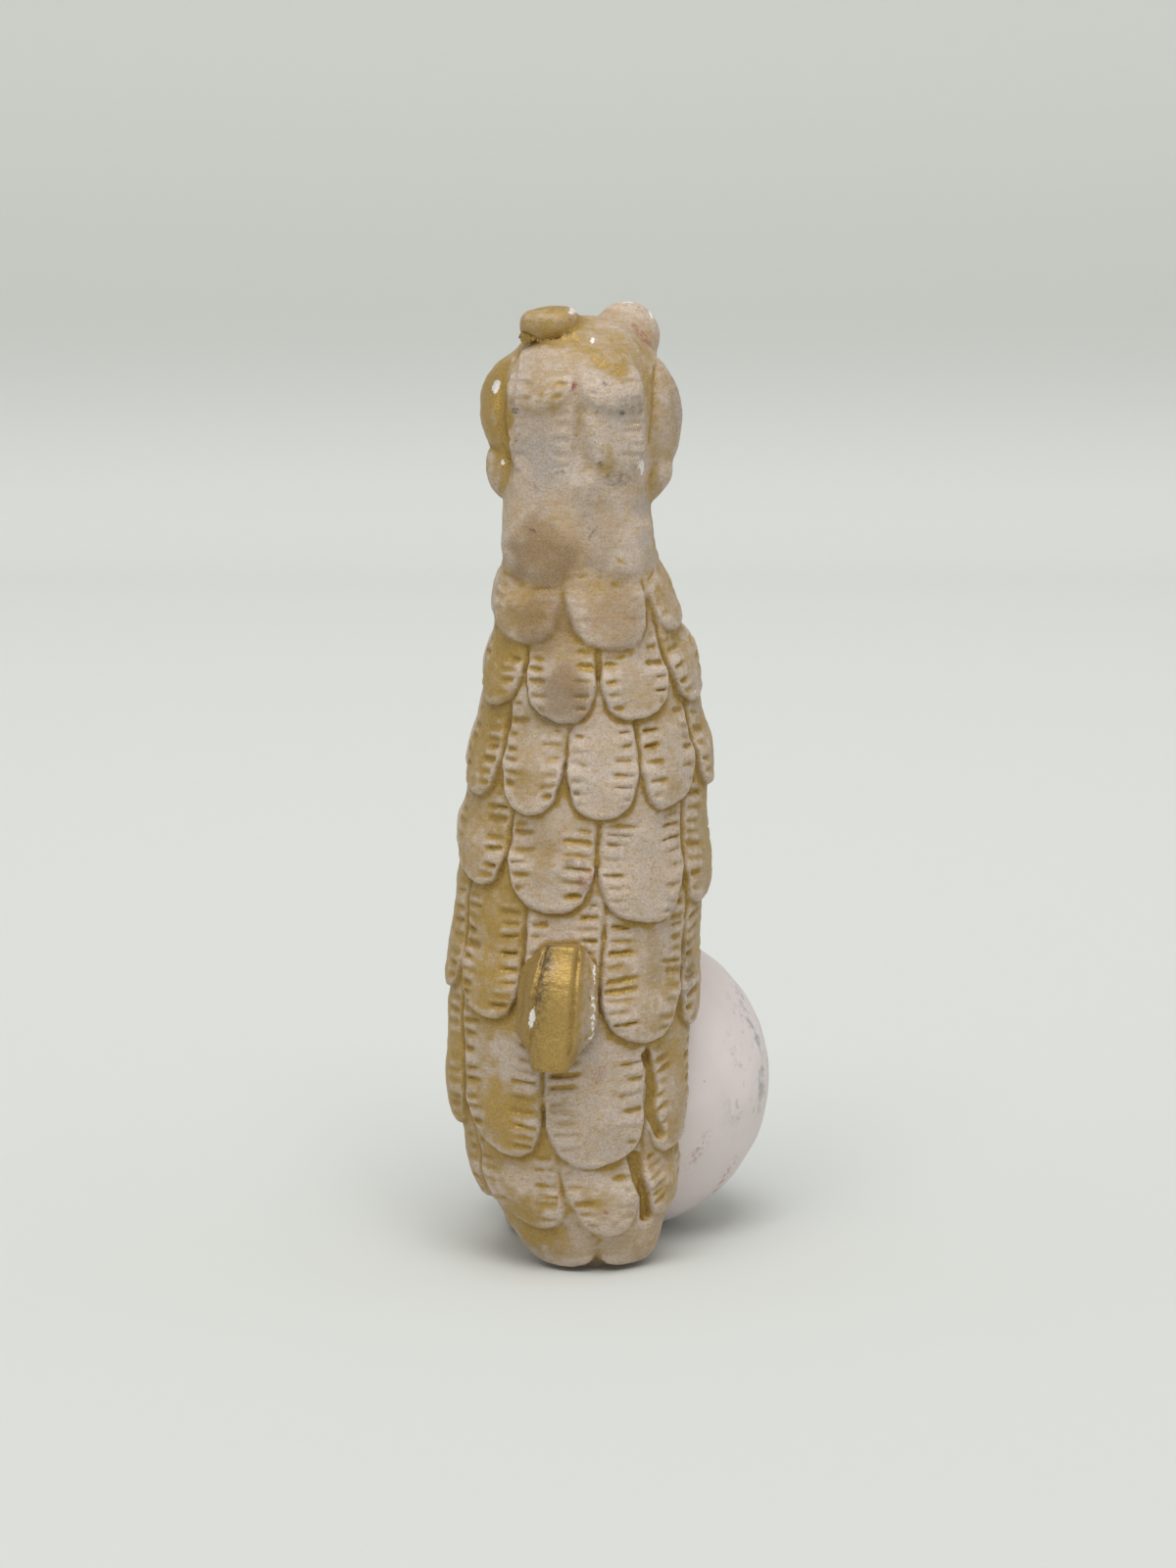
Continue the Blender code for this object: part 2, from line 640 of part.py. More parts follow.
tail_points, tail_radii = [], []
TAIL_STEPS, CURL_STEPS = 18, 14
for i in range(TAIL_STEPS + 1):
    share = TAIL_LAID * i / TAIL_STEPS
    tail_radii.append(tail_radius(share))
    tail_points.append(tail_point(TAIL_FROM + (TAIL_TO - TAIL_FROM) * i / TAIL_STEPS, tail_radii[-1]))
heading = math.radians(TAIL_TO - 90)
pivot = tail_points[-1] + TAIL_CURL * Vector((-math.sin(heading), math.cos(heading), 0))
for i in range(1, CURL_STEPS + 1):
    share = i / CURL_STEPS
    turned = heading - math.pi / 2 + math.radians(CURL_TURN) * share
    reach = TAIL_CURL * (1 - CURL_CLOSES * share)
    radius = tail_radius(TAIL_LAID + (1 - TAIL_LAID) * share)
    tail_radii.append(radius)
    tail_points.append(
        Vector((pivot.x + reach * math.cos(turned), pivot.y + reach * math.sin(turned), radius + SLIP))
    )
tail = keep("tail", tube_mesh("tail", tail_points, tail_radii), pink_clay)
cut(tail, neck_form)
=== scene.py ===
# %% [markdown]
# # A clay seahorse, washed with gold
# The solids give the size and place of every piece of clay. This lesson gives them the hand of the maker:
# soft edges, tool marks pressed along the scales, pigment that has settled in the hollows and worn off the
# high places. The first cell loads the solids as a fixed frame, which is never moved or changed.

# %% Load the frame
import json
import math

import bpy
import numpy as np
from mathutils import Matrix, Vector
from mathutils.bvhtree import BVHTree
from mathutils.kdtree import KDTree

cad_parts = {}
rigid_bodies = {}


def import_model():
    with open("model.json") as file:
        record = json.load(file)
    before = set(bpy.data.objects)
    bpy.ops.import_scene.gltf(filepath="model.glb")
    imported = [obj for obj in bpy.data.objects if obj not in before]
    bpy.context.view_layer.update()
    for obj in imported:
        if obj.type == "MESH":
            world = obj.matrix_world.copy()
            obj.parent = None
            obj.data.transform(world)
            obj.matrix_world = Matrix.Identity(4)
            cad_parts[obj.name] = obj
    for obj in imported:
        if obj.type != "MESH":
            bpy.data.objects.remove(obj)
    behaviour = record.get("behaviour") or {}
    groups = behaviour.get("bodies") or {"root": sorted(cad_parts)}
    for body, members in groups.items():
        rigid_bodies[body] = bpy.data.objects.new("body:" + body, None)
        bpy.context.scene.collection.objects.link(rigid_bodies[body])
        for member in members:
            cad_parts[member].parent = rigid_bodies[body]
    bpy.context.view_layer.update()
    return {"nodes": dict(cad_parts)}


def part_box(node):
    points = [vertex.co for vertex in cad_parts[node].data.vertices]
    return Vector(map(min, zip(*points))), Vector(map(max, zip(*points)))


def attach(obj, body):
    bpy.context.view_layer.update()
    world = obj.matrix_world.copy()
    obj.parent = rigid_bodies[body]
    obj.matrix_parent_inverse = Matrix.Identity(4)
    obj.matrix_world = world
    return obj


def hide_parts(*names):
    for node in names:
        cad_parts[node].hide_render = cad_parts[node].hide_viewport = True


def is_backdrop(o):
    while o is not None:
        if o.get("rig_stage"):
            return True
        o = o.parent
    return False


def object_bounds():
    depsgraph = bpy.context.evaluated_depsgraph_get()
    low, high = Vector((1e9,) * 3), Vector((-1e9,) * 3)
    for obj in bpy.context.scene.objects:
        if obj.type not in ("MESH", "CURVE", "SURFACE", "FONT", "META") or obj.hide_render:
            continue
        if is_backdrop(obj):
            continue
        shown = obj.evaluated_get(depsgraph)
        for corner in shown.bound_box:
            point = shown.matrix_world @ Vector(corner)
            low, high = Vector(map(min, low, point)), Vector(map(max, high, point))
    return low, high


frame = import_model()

# %% [markdown]
# ## Camera
# The figure is seen from behind, from a little above its head. A long lens a metre away keeps the sides
# nearly upright, as they are in the photograph. The sensor's width goes with the long side of the image.

# %% Place the camera
CAMERA_AT = (0.00061, -1.005, 0.250)
CAMERA_DOWN = 8.46  # degrees below level
LENS = 112.5  # millimetres, on a sensor of 36

bpy.ops.object.select_all(action="DESELECT")
bpy.ops.object.camera_add(location=CAMERA_AT, rotation=(math.radians(90 - CAMERA_DOWN), 0, 0))
camera = bpy.context.active_object
camera.data.lens = LENS
camera.data.sensor_width = 36
bpy.context.scene.camera = camera
bpy.context.scene.view_settings.view_transform = "Standard"
print("camera at", CAMERA_AT)

# %% [markdown]
# ## Working by code as by hand
# Each helper does one thing that a modeller does in the viewport: pick one object, apply a modifier, copy a
# solid to work on, or read and move its points. A solid is loose triangles, so a copy is merged first.

# %% Hands: selecting, copying and applying
MERGE = 0.00001


def only(*objects):
    """Selects these objects and no others. The first becomes the active one."""
    bpy.ops.object.select_all(action="DESELECT")
    for obj in objects:
        obj.select_set(True)
    bpy.context.view_layer.objects.active = objects[0]


def mode(name):
    bpy.ops.object.mode_set(mode=name)


def apply(obj, kind, **settings):
    only(obj)
    modifier = obj.modifiers.new(kind.lower(), kind)
    for key, value in settings.items():
        setattr(modifier, key, value)
    bpy.ops.object.modifier_apply(modifier=modifier.name)


def clay_copy(name, *nodes):
    """One merged mesh from copies of some solids."""
    only(*[frame["nodes"][node] for node in nodes])
    bpy.ops.object.duplicate()
    if len(nodes) > 1:
        bpy.ops.object.join()
    piece = bpy.context.active_object
    bpy.ops.object.parent_clear(type="CLEAR_KEEP_TRANSFORM")
    for key in [key for key in piece.keys() if key.startswith("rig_")]:
        del piece[key]
    piece.name = piece.data.name = name
    piece.data.materials.clear()
    mode("EDIT")
    bpy.ops.mesh.select_all(action="SELECT")
    bpy.ops.mesh.remove_doubles(threshold=MERGE)
    bpy.ops.mesh.tris_convert_to_quads(face_threshold=0.7, shape_threshold=0.9)
    mode("OBJECT")
    return piece


def vectors(items, name):
    """One vector of each item, as the rows of an array."""
    flat = np.empty(len(items) * 3, np.float32)
    items.foreach_get(name, flat)
    return flat.reshape(-1, 3).astype(float)


def points_of(obj):
    return vectors(obj.data.vertices, "co")


def normals_of(obj):
    return vectors(obj.data.vertex_normals, "vector")


def move_points(obj, points):
    points[:, 2] = np.maximum(points[:, 2], 0.0)
    obj.data.vertices.foreach_set("co", points.astype(np.float32).ravel())
    obj.data.update()


def paint(obj, name, values):
    layer = obj.data.attributes.new(name, "FLOAT", "POINT")
    layer.data.foreach_set("value", np.asarray(values, np.float32))


# %% [markdown]
# ## Uneven by hand
# Nothing pressed by hand is even. A sum of waves that run every way gives a smooth, repeatable unevenness.
# One such field bends every piece alike, so that outlines wander but neighbours still meet.

# %% Unevenness
def smooth_step(t):
    t = np.clip(t, 0.0, 1.0)
    return t * t * (3 - 2 * t)


def ripple(points, wavelength, seed, waves=16):
    """Smooth unevenness, about -1 to 1."""
    draw = np.random.default_rng(seed)
    ways = draw.normal(size=(waves, 3))
    ways /= np.linalg.norm(ways, axis=1)[:, None]
    lengths = wavelength * draw.uniform(0.7, 1.5, waves)
    phases = draw.uniform(0, 2 * np.pi, waves)
    total = np.sin(points @ (ways.T * (2 * np.pi / lengths)) + phases).sum(axis=1)
    return total * 0.5 * math.sqrt(2 / waves)


WANDER = 0.0006
WANDER_LENGTH = 0.022
FLOOR_CALM = 0.012  # height below which the wandering fades
COARSE_LENGTH, FINE_LENGTH = 0.008, 0.0022


def wander(points):
    """The shift that the same hand gives to every piece, less near the floor."""
    shift = np.stack([ripple(points, WANDER_LENGTH, seed) for seed in (1, 2, 3)], axis=1)
    return WANDER * shift * smooth_step(points[:, 2:3] / FLOOR_CALM)


def roughen(obj, seed, coarse=0.00022, fine=0.00006, wanders=True):
    """Moves points in and out a little, and along with the wandering."""
    points, normals = points_of(obj), normals_of(obj)
    out = coarse * ripple(points, COARSE_LENGTH, seed) + fine * ripple(points, FINE_LENGTH, seed + 1)
    move_points(obj, points + normals * out[:, None] + wander(points) * wanders)


# %% [markdown]
# ## Round the body
# The scales follow the body, so their marks need its directions: how far round from the middle of the back a
# point is, and which way is straight out. Both come from the width and depth of the shells at each height.

# %% Measure the body
FULL_ROW = 30  # fewer points don't make a ring of the shells
every_point = np.vstack([points_of(frame["nodes"][n]) for n in ("body_back_shell", "body_front_shell")])
levels = np.unique(np.round(every_point[:, 2], 5))
rows = [every_point[np.abs(every_point[:, 2] - z) < MERGE] for z in levels]
rows = [(z, row) for z, row in zip(levels, rows) if len(row) > FULL_ROW]
body_levels = np.array([z for z, row in rows])
body_lows = np.array([row.min(axis=0) for z, row in rows])
body_highs = np.array([row.max(axis=0) for z, row in rows])


def centred(values, low, high):
    """Values as -1 to 1 between two ends."""
    return (values - (low + high) / 2) / ((high - low) / 2)


def round_body(points):
    """Degrees from the middle of the back, and the level direction straight out, at each point."""
    low = [np.interp(points[:, 2], body_levels, body_lows[:, i]) for i in (0, 1)]
    high = [np.interp(points[:, 2], body_levels, body_highs[:, i]) for i in (0, 1)]
    across, along = (centred(points[:, i], low[i], high[i]) for i in (0, 1))
    out = np.stack([across / (high[0] - low[0]), along / (high[1] - low[1]), np.zeros(len(points))], axis=1)
    out /= np.linalg.norm(out, axis=1)[:, None]
    return np.degrees(np.arctan2(across, -along)), out


print("body rows:", len(body_levels), "widest mm:", round(1000 * (body_highs - body_lows)[:, 0].max(), 1))

# %% [markdown]
# ## Where pigment stays and where it wears
# A wash settles in the hollows and is rubbed off the edges. Two numbers at each point tell the finish where
# that is: how far the point stands above its smoothed surroundings, and how close it is to a neighbour.

# %% Hollows and ridges
RELIEF_DEPTH = 0.00011  # a point this far above or below its surroundings counts fully
TOUCH = 0.0016  # pigment gathers within this distance of a neighbour


def averager(obj):
    """A function that averages places over the points next to each point."""
    count = len(obj.data.vertices)
    ends = np.empty(len(obj.data.edges) * 2, np.int32)
    obj.data.edges.foreach_get("vertices", ends)
    first, second = ends.reshape(-1, 2).T
    shared = np.bincount(ends, minlength=count)

    def average(values):
        total = np.empty_like(values)
        for i in range(values.shape[1]):
            total[:, i] = np.bincount(first, values[second, i], count)
            total[:, i] += np.bincount(second, values[first, i], count)
        return total / shared[:, None]

    return average


def relief(obj, passes, before=2):
    """How far each point stands above its smoothed surroundings."""
    calm, average = points_of(obj), averager(obj)
    for step in range(passes):
        if step == before:
            points = calm
        calm = average(calm)
    return ((points - calm) * normals_of(obj)).sum(axis=1)


def tree_of(obj):
    mesh = obj.data
    return BVHTree.FromPolygons([v.co for v in mesh.vertices], [p.vertices for p in mesh.polygons])


def closeness(obj, others):
    """1 where another piece touches a point from the front or the side, falling to 0 away from it."""
    points, normals = points_of(obj), normals_of(obj)
    nearest = np.full(len(points), TOUCH)
    for low, high, tree in others:
        inside = np.all((points > low - TOUCH) & (points < high + TOUCH), axis=1)
        for i in np.nonzero(inside)[0]:
            found, _, _, gap = tree.find_nearest(points[i], nearest[i])
            if found is not None and np.dot(np.array(found) - points[i], normals[i]) > -0.3 * gap:
                nearest[i] = gap
    return 1 - smooth_step(nearest / TOUCH)


# %% [markdown]
# ## Finishes
# The clay is a pinkish body under a gold wash. One finish does for all the washed clay: the wash is thick
# where a piece says so (gilt) and in the hollows, thin on the ridges, and patchy everywhere. Gold flecks,
# stains, pale chips and a fine grain lie over both, and a painted shade darkens the open grooves and the
# deepest tool marks. Numbers that don't vary are set on the shader itself.

# %% Material helpers
def srgb(red, green, blue):
    values = [v / 255 for v in (red, green, blue)]
    return (*[v / 12.92 if v < 0.04045 else ((v + 0.055) / 1.055) ** 2.4 for v in values], 1.0)


class Finish:
    """A material whose nodes are added one by one."""

    def __init__(self, name):
        self.material = bpy.data.materials.new(name)
        self.material.use_nodes = True
        self.tree = self.material.node_tree
        self.shader = self.tree.nodes["Principled BSDF"]
        self.place = self.tree.nodes.new("ShaderNodeTexCoord").outputs["Object"]

    def add(self, kind, inputs, output=0, **settings):
        node = self.tree.nodes.new(kind)
        for key, value in settings.items():
            setattr(node, key, value)
        for key, value in inputs.items():
            if isinstance(value, bpy.types.NodeSocket):
                self.tree.links.new(value, node.inputs[key])
            else:
                node.inputs[key].default_value = value
        return node.outputs[output]

    def noise(self, size, detail=3.0, rough=0.55, shift=0.0, flat=1.0):
        """Cloudy values of about 0.5, with features of this size in metres, or flatter than wide."""
        moved = self.add("ShaderNodeVectorMath", {0: self.place, 1: (shift, shift, shift)})
        moved = self.add("ShaderNodeVectorMath", {0: moved, 1: (1.0, 1.0, flat)}, operation="MULTIPLY")
        inputs = {"Vector": moved, "Scale": 1 / size, "Detail": detail, "Roughness": rough}
        return self.add("ShaderNodeTexNoise", inputs)

    def math(self, operation, first, second=0.0):
        return self.add("ShaderNodeMath", {0: first, 1: second}, operation=operation)

    def times(self, first, second):
        return self.math("MULTIPLY", first, second)

    def swing(self, cloud, strength):
        """Cloudy values of about 0.5 as a plus or minus of this strength."""
        return self.times(self.math("SUBTRACT", cloud, 0.5), strength)

    def ramp(self, value, low, high):
        inputs = {"Value": value, "From Min": low, "From Max": high}
        return self.add("ShaderNodeMapRange", inputs, interpolation_type="SMOOTHSTEP")

    def mix(self, share, first, second):
        return self.add("ShaderNodeMixRGB", {"Fac": share, "Color1": first, "Color2": second})

    def layer(self, name):
        return self.add("ShaderNodeAttribute", {}, output="Fac", attribute_name=name)

    def specks(self, size, radius, share, shift):
        """Spots of this radius, in a share of random cells of this size."""
        moved = self.add("ShaderNodeVectorMath", {0: self.place, 1: (shift, shift, shift)})
        distance = self.add("ShaderNodeTexVoronoi", {"Vector": moved, "Scale": 1 / size}, output="Distance")
        spot = self.ramp(distance, 1.3 * radius / size, 0.7 * radius / size)
        return self.times(spot, self.math("LESS_THAN", distance.node.outputs["Color"], share))

    def bump(self, height, distance, strength):
        inputs = {"Height": height, "Distance": distance, "Strength": strength}
        self.link(self.add("ShaderNodeBump", inputs), "Normal")

    def link(self, value, socket):
        self.tree.links.new(value, self.shader.inputs[socket])


# %% Gold-washed clay
PINK = srgb(188, 168, 148)
GREY_PINK = srgb(184, 169, 155)
PALE_PINK = srgb(201, 184, 167)
TAN = srgb(163, 136, 92)
GOLD = srgb(169, 139, 75)
DEEP_GOLD = srgb(143, 112, 54)
GREY_SMUDGE = srgb(150, 144, 139)
DIRT = srgb(145, 119, 86)
# the colour of the painted shade laid in the open grooves and the deepest tool marks
CREASE_SHADE = srgb(98, 74, 40)
SOOT = srgb(66, 60, 56)
RED = srgb(140, 62, 56)
BARE = srgb(230, 224, 219)


def washed_clay_finish():
    made = Finish("gold_washed_clay")
    hollow, ridge, gilt = made.layer("hollow"), made.layer("ridge"), made.layer("gilt")
    patch = made.noise(0.010, 4.0, 0.6)
    small_patch = made.noise(0.0030, 4.0, 0.65, 1.0)
    grain = made.noise(0.00045, 2.0, 0.6, 2.0)
    brushed = made.noise(0.0028, 4.0, 0.7, 12.0, 5.0)

    # the clay, and how thick the wash lies on it
    clay = made.mix(made.ramp(patch, 0.35, 0.65), GREY_PINK, PINK)
    clay = made.mix(made.times(ridge, 0.6), clay, PALE_PINK)
    uneven = made.swing(patch, 1.1)
    for cloud, strength in ((small_patch, 0.8), (grain, 0.4), (brushed, 0.7)):
        uneven = made.math("ADD", uneven, made.swing(cloud, strength))
    amount = made.math("ADD", gilt, uneven)
    amount = made.math("ADD", amount, made.times(hollow, 0.75))
    amount = made.math("SUBTRACT", amount, made.times(ridge, 0.35))
    gold = made.ramp(amount, 0.15, 0.85)
    wash = made.mix(made.ramp(amount, 0.45, 0.95), TAN, GOLD)
    wash = made.mix(made.times(hollow, 0.5), wash, DEEP_GOLD)
    colour = made.mix(gold, clay, wash)
    # painted shade: the open grooves and the deepest tool marks are darkened where shade falls
    crease = made.times(made.layer("crease"), made.ramp(small_patch, 0.25, 0.6))
    colour = made.mix(made.times(crease, 0.36), colour, CREASE_SHADE)

    # smudges, pepper and gold flecks everywhere
    smudged = made.ramp(made.noise(0.014, 4.0, 0.65, 4.0), 0.60, 0.72)
    colour = made.mix(made.times(smudged, 0.22), colour, GREY_SMUDGE)
    peppered = made.ramp(made.noise(0.009, 3.0, 0.6, 6.0), 0.46, 0.62)
    pepper = made.times(made.specks(0.0011, 0.00015, 0.36, 5.0), peppered)
    colour = made.mix(made.times(pepper, 0.7), colour, SOOT)
    glint = made.ramp(made.noise(0.0016, 4.0, 0.75, 13.0, 2.5), 0.53, 0.60)
    colour = made.mix(made.times(glint, 0.5), colour, GOLD)

    # stains and chips by place, with ragged rims
    flaky = made.noise(0.0011, 4.0, 0.7, 11.0)
    broken = made.ramp(flaky, 0.34, 0.66)
    colour = made.mix(made.times(made.layer("dirt"), 0.85), colour, DIRT)
    colour = made.mix(made.times(made.layer("grey"), 0.5), colour, GREY_SMUDGE)
    for stain, stain_colour, strength in (("soot", SOOT, 0.9), ("red", RED, 0.8)):
        stained = made.times(made.times(made.layer(stain), broken), strength)
        colour = made.mix(stained, colour, stain_colour)
    bare = made.layer("bare")
    ragged = made.math("ADD", bare, made.swing(flaky, 1.8))
    chipped = made.times(made.ramp(ragged, 0.48, 0.56), made.ramp(bare, 0.05, 0.2))
    fleck = made.times(made.specks(0.0075, 0.00045, 0.10, 9.0), 0.7)
    colour = made.mix(made.math("MAXIMUM", fleck, chipped), colour, BARE)

    # grain, sheen and fine relief
    levels = {"Value": grain, "From Min": 0.25, "From Max": 0.75, "To Min": 0.78, "To Max": 1.22}
    shaded = {"Fac": 1.0, "Color1": colour, "Color2": made.add("ShaderNodeMapRange", levels)}
    made.link(made.add("ShaderNodeMixRGB", shaded, blend_type="MULTIPLY"), "Base Color")
    made.link(made.times(made.ramp(amount, 0.5, 1.1), 0.5), "Metallic")
    made.link(made.math("SUBTRACT", 0.68, made.times(gold, 0.24)), "Roughness")
    made.shader.inputs["Specular IOR Level"].default_value = 0.35
    height = made.math("ADD", made.times(grain, 0.6), made.noise(0.0013, 4.0, 0.65, 10.0))
    made.bump(height, 0.00022, 0.9)
    return made.material


gold_washed_clay = washed_clay_finish()

# %% Pale clay of the ball, and the dark paint of the eyes
DULL_WHITE, CLEAR_WHITE = srgb(218, 207, 204), srgb(226, 215, 213)
BLUE_SMUDGE = srgb(134, 138, 142)
RED_SCRATCH = srgb(150, 72, 62)
EYE_DARK, EYE_WORN = srgb(44, 38, 36), srgb(176, 150, 132)


def pale_clay_finish():
    made = Finish("pale_clay")
    cloud = made.noise(0.018, 4.0, 0.6)
    colour = made.mix(made.ramp(cloud, 0.3, 0.7), DULL_WHITE, CLEAR_WHITE)
    rubbed = made.ramp(made.noise(0.007, 5.0, 0.75, 3.0), 0.50, 0.66)
    smudge = made.times(rubbed, made.layer("smudged"))
    colour = made.mix(made.times(smudge, 0.75), colour, BLUE_SMUDGE)
    broken = made.ramp(made.noise(0.0012, 3.0, 0.6, 4.0), 0.45, 0.6)
    scratch = made.times(made.layer("scratched"), broken)
    colour = made.mix(made.times(scratch, 0.8), colour, RED_SCRATCH)
    dirt = made.specks(0.004, 0.00025, 0.10, 6.0)
    colour = made.mix(made.times(dirt, 0.35), colour, SOOT)
    made.link(colour, "Base Color")
    made.link(made.math("ADD", 0.42, made.times(cloud, 0.2)), "Roughness")
    made.bump(made.noise(0.0016, 3.0, 0.6), 0.00005, 0.35)
    return made.material


def dark_paint_finish():
    made = Finish("dark_paint")
    worn = made.ramp(made.noise(0.0014, 4.0, 0.6), 0.58, 0.68)
    made.link(made.mix(worn, EYE_DARK, EYE_WORN), "Base Color")
    made.link(made.math("ADD", 0.28, made.times(worn, 0.35)), "Roughness")
    made.bump(made.noise(0.0009, 2.0), 0.00006, 0.4)
    return made.material


pale_clay = pale_clay_finish()
dark_paint = dark_paint_finish()
print("finishes:", [m.name for m in (gold_washed_clay, pale_clay, dark_paint)])

# %% [markdown]
# ## One mass of clay
# The scales, pads, cheeks, brow, crest and snout were laid on wet and worked in, so on the real figure their
# edges run into the body. To get that, copies of the solids are joined, remeshed into one skin and smoothed.
# Later the skin is parted again along the grooves, one piece for each solid. The shells are hollow, and only
# their outside is wanted here, so the inner faces are deleted, the seam is merged and the ends are filled.

# %% Straight out
HEAD_MIDDLE = 0.178  # height
HEAD_FROM, HEAD_BLEND = 0.160, 0.004  # height from which a point belongs to the head
head_low, head_high = (np.array(v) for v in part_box("head_back_shell"))
front_high = np.array(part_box("head_front_shell")[1])
head_middle = np.array([(head_low[0] + head_high[0]) / 2, (head_low[1] + front_high[1]) / 2, HEAD_MIDDLE])


def outward(points):
    """The direction straight out of the body, or out of the head."""
    from_head = points - head_middle
    from_head /= np.linalg.norm(from_head, axis=1)[:, None]
    on_head = smooth_step((points[:, 2] - HEAD_FROM) / HEAD_BLEND)[:, None]
    out = round_body(points)[1] * (1 - on_head) + from_head * on_head
    return out / np.linalg.norm(out, axis=1)[:, None]


# %% Outside of the shells
OUTSIDE = 0.3  # least part of a face's normal that points straight out
SEAM_MERGE = 0.0005


def outer_form(name, *shells):
    """A closed form from the outer faces of two shells."""
    piece = clay_copy(name, *shells)
    centres, facing = (vectors(piece.data.polygons, name) for name in ("center", "normal"))
    inner = (facing * outward(centres)).sum(axis=1) < OUTSIDE
    mode("EDIT")
    bpy.ops.mesh.select_mode(type="FACE")
    mode("OBJECT")
    piece.data.polygons.foreach_set("select", inner)
    mode("EDIT")
    bpy.ops.mesh.delete(type="FACE")
    bpy.ops.mesh.select_all(action="SELECT")
    bpy.ops.mesh.remove_doubles(threshold=SEAM_MERGE)
    bpy.ops.mesh.fill_holes(sides=0)
    bpy.ops.mesh.normals_make_consistent(inside=False)
    mode("OBJECT")
    apply(piece, "SUBSURF", levels=1, render_levels=1, boundary_smooth="PRESERVE_CORNERS")
    return piece


forms = [
    outer_form("body_skin", "body_back_shell", "body_front_shell"),
    outer_form("head_skin", "head_back_shell", "head_front_shell"),
]
print("body and head:", [len(form.data.polygons) for form in forms], "faces")

# %% Soft copies of what is laid on
SHARP = 35  # degrees between faces, past which an edge of the solid is kept
EDGE_KEPT = 0.7  # how sharp such an edge stays
SINK = 0.0009  # how far the hidden face of a scale is sunk into what lies below


def soft_copy(name, node):
    """A finely divided copy of a solid, with its hidden face sunk."""
    piece = clay_copy(name, node)
    mode("EDIT")
    bpy.ops.mesh.select_all(action="DESELECT")
    bpy.ops.mesh.edges_select_sharp(sharpness=math.radians(SHARP))
    bpy.ops.transform.edge_crease(value=EDGE_KEPT)
    mode("OBJECT")
    apply(piece, "SUBSURF", levels=2, render_levels=2)
    points = points_of(piece)
    out = outward(points)
    hidden = smooth_step((-(normals_of(piece) * out).sum(axis=1) - 0.1) / 0.5)
    move_points(piece, points - out * (SINK * hidden)[:, None])
    return piece


def nodes_in(*rows):
    return [n for row in rows for n in sorted(frame["nodes"]) if n.startswith(row)]


MARKED_ROWS = {  # how deep the tool went
    "collar_scale": 0.35,
    "shoulder_scale": 0.9,
    "upper_back_scale": 1.0,
    "mid_back_scale": 1.0,
    "lower_back_scale": 1.0,
    "hip_scale": 0.9,
    "hem_scale": 0.7,
}
scale_nodes = nodes_in(*MARKED_ROWS)
plain_nodes = nodes_in("neck_pad", "crown_scale", "nape_scale", "foot_lobe", "belly_band")
lump_nodes = nodes_in("cheek", "gill_lobe", "brow_knob", "snout", "crest_tab")
shell_nodes = nodes_in("body_back", "body_front", "head_back", "head_front")
laid_on = [soft_copy(node + "_soft", node) for node in scale_nodes + plain_nodes]
lumps = [clay_copy(node + "_soft", node) for node in lump_nodes]
for lump in lumps:
    apply(lump, "SUBSURF", levels=1, render_levels=1)


def squared(points, low, high, power=3.2, share=0.6):
    """Points of an oval, pushed towards the box round it."""
    middle, half = np.array((low + high) / 2), np.array((high - low) / 2)
    unit = (points - middle) / half
    box = (np.abs(unit) ** power).sum(axis=1) ** (1 / power)
    return middle + half * unit * (np.linalg.norm(unit, axis=1) / box)[:, None] ** share


move_points(lumps[-1], squared(points_of(lumps[-1]), *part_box("crest_tab")))
print("laid on:", len(laid_on), "pads and scales,", len(lumps), "lumps")

# %% Clay worked into the neck
NECK_AT, NECK_HALF = (-0.0015, -0.0015, 0.1625), (0.0148, 0.0146, 0.0160)
bpy.ops.object.select_all(action="DESELECT")
bpy.ops.mesh.primitive_uv_sphere_add(segments=48, ring_count=24, radius=1, location=NECK_AT)
neck_fill = bpy.context.active_object
neck_fill.scale = NECK_HALF
bpy.ops.object.transform_apply(location=True, rotation=True, scale=True)
lumps.append(neck_fill)
print("neck filled at height, mm:", 1000 * NECK_AT[2])

# %% Join, remesh and smooth
SKIN_VOXEL = 0.00042
SKIN_PASSES = 9
CORE_SUNK = 0.0016  # how far the closed forms stay below the skin
BODY_GROWS, OTHERS_GROW = 0.0006, 0.0004  # makes up for what smoothing takes off
only(*forms)
bpy.ops.object.duplicate()
cores = list(bpy.context.selected_objects)
for form in forms:
    apply(form, "DISPLACE", strength=-CORE_SUNK, mid_level=0.0)
for piece in cores + lumps:
    grows = BODY_GROWS if piece.name.startswith("body_skin") else OTHERS_GROW
    apply(piece, "DISPLACE", strength=grows, mid_level=0.0)
only(*cores, *laid_on, *lumps)
bpy.ops.object.join()
skin = bpy.context.active_object
skin.name = skin.data.name = "clay_skin"
apply(skin, "REMESH", mode="VOXEL", voxel_size=SKIN_VOXEL)
apply(skin, "SMOOTH", factor=0.5, iterations=SKIN_PASSES)
print("skin:", len(skin.data.vertices), "points")

# %% Which solid each point belongs to
skin_nodes = scale_nodes + plain_nodes + lump_nodes + shell_nodes
corners, faces, owners = [], [], []
for number, node in enumerate(skin_nodes):
    mesh = frame["nodes"][node].data
    faces += [tuple(len(corners) + v for v in face.vertices) for face in mesh.polygons]
    owners += [number] * len(mesh.polygons)
    corners += [v.co.copy() for v in mesh.vertices]
solids = BVHTree.FromPolygons(corners, faces)
owner = np.array([owners[solids.find_nearest(v.co)[2]] for v in skin.data.vertices])
print("points of the largest piece:", np.bincount(owner).max())

# %% [markdown]
# ## Rubbed and marked
# Head and neck were smoothed with a wet finger until the pads hardly stand out. On the scales, the edge of a
# tool was pressed along both sides and left short level marks inside a whole rim. One soft groove runs down
# the back of the head, and a few channels and lines were drawn by hand. Points are moved straight in, where a
# mark is.

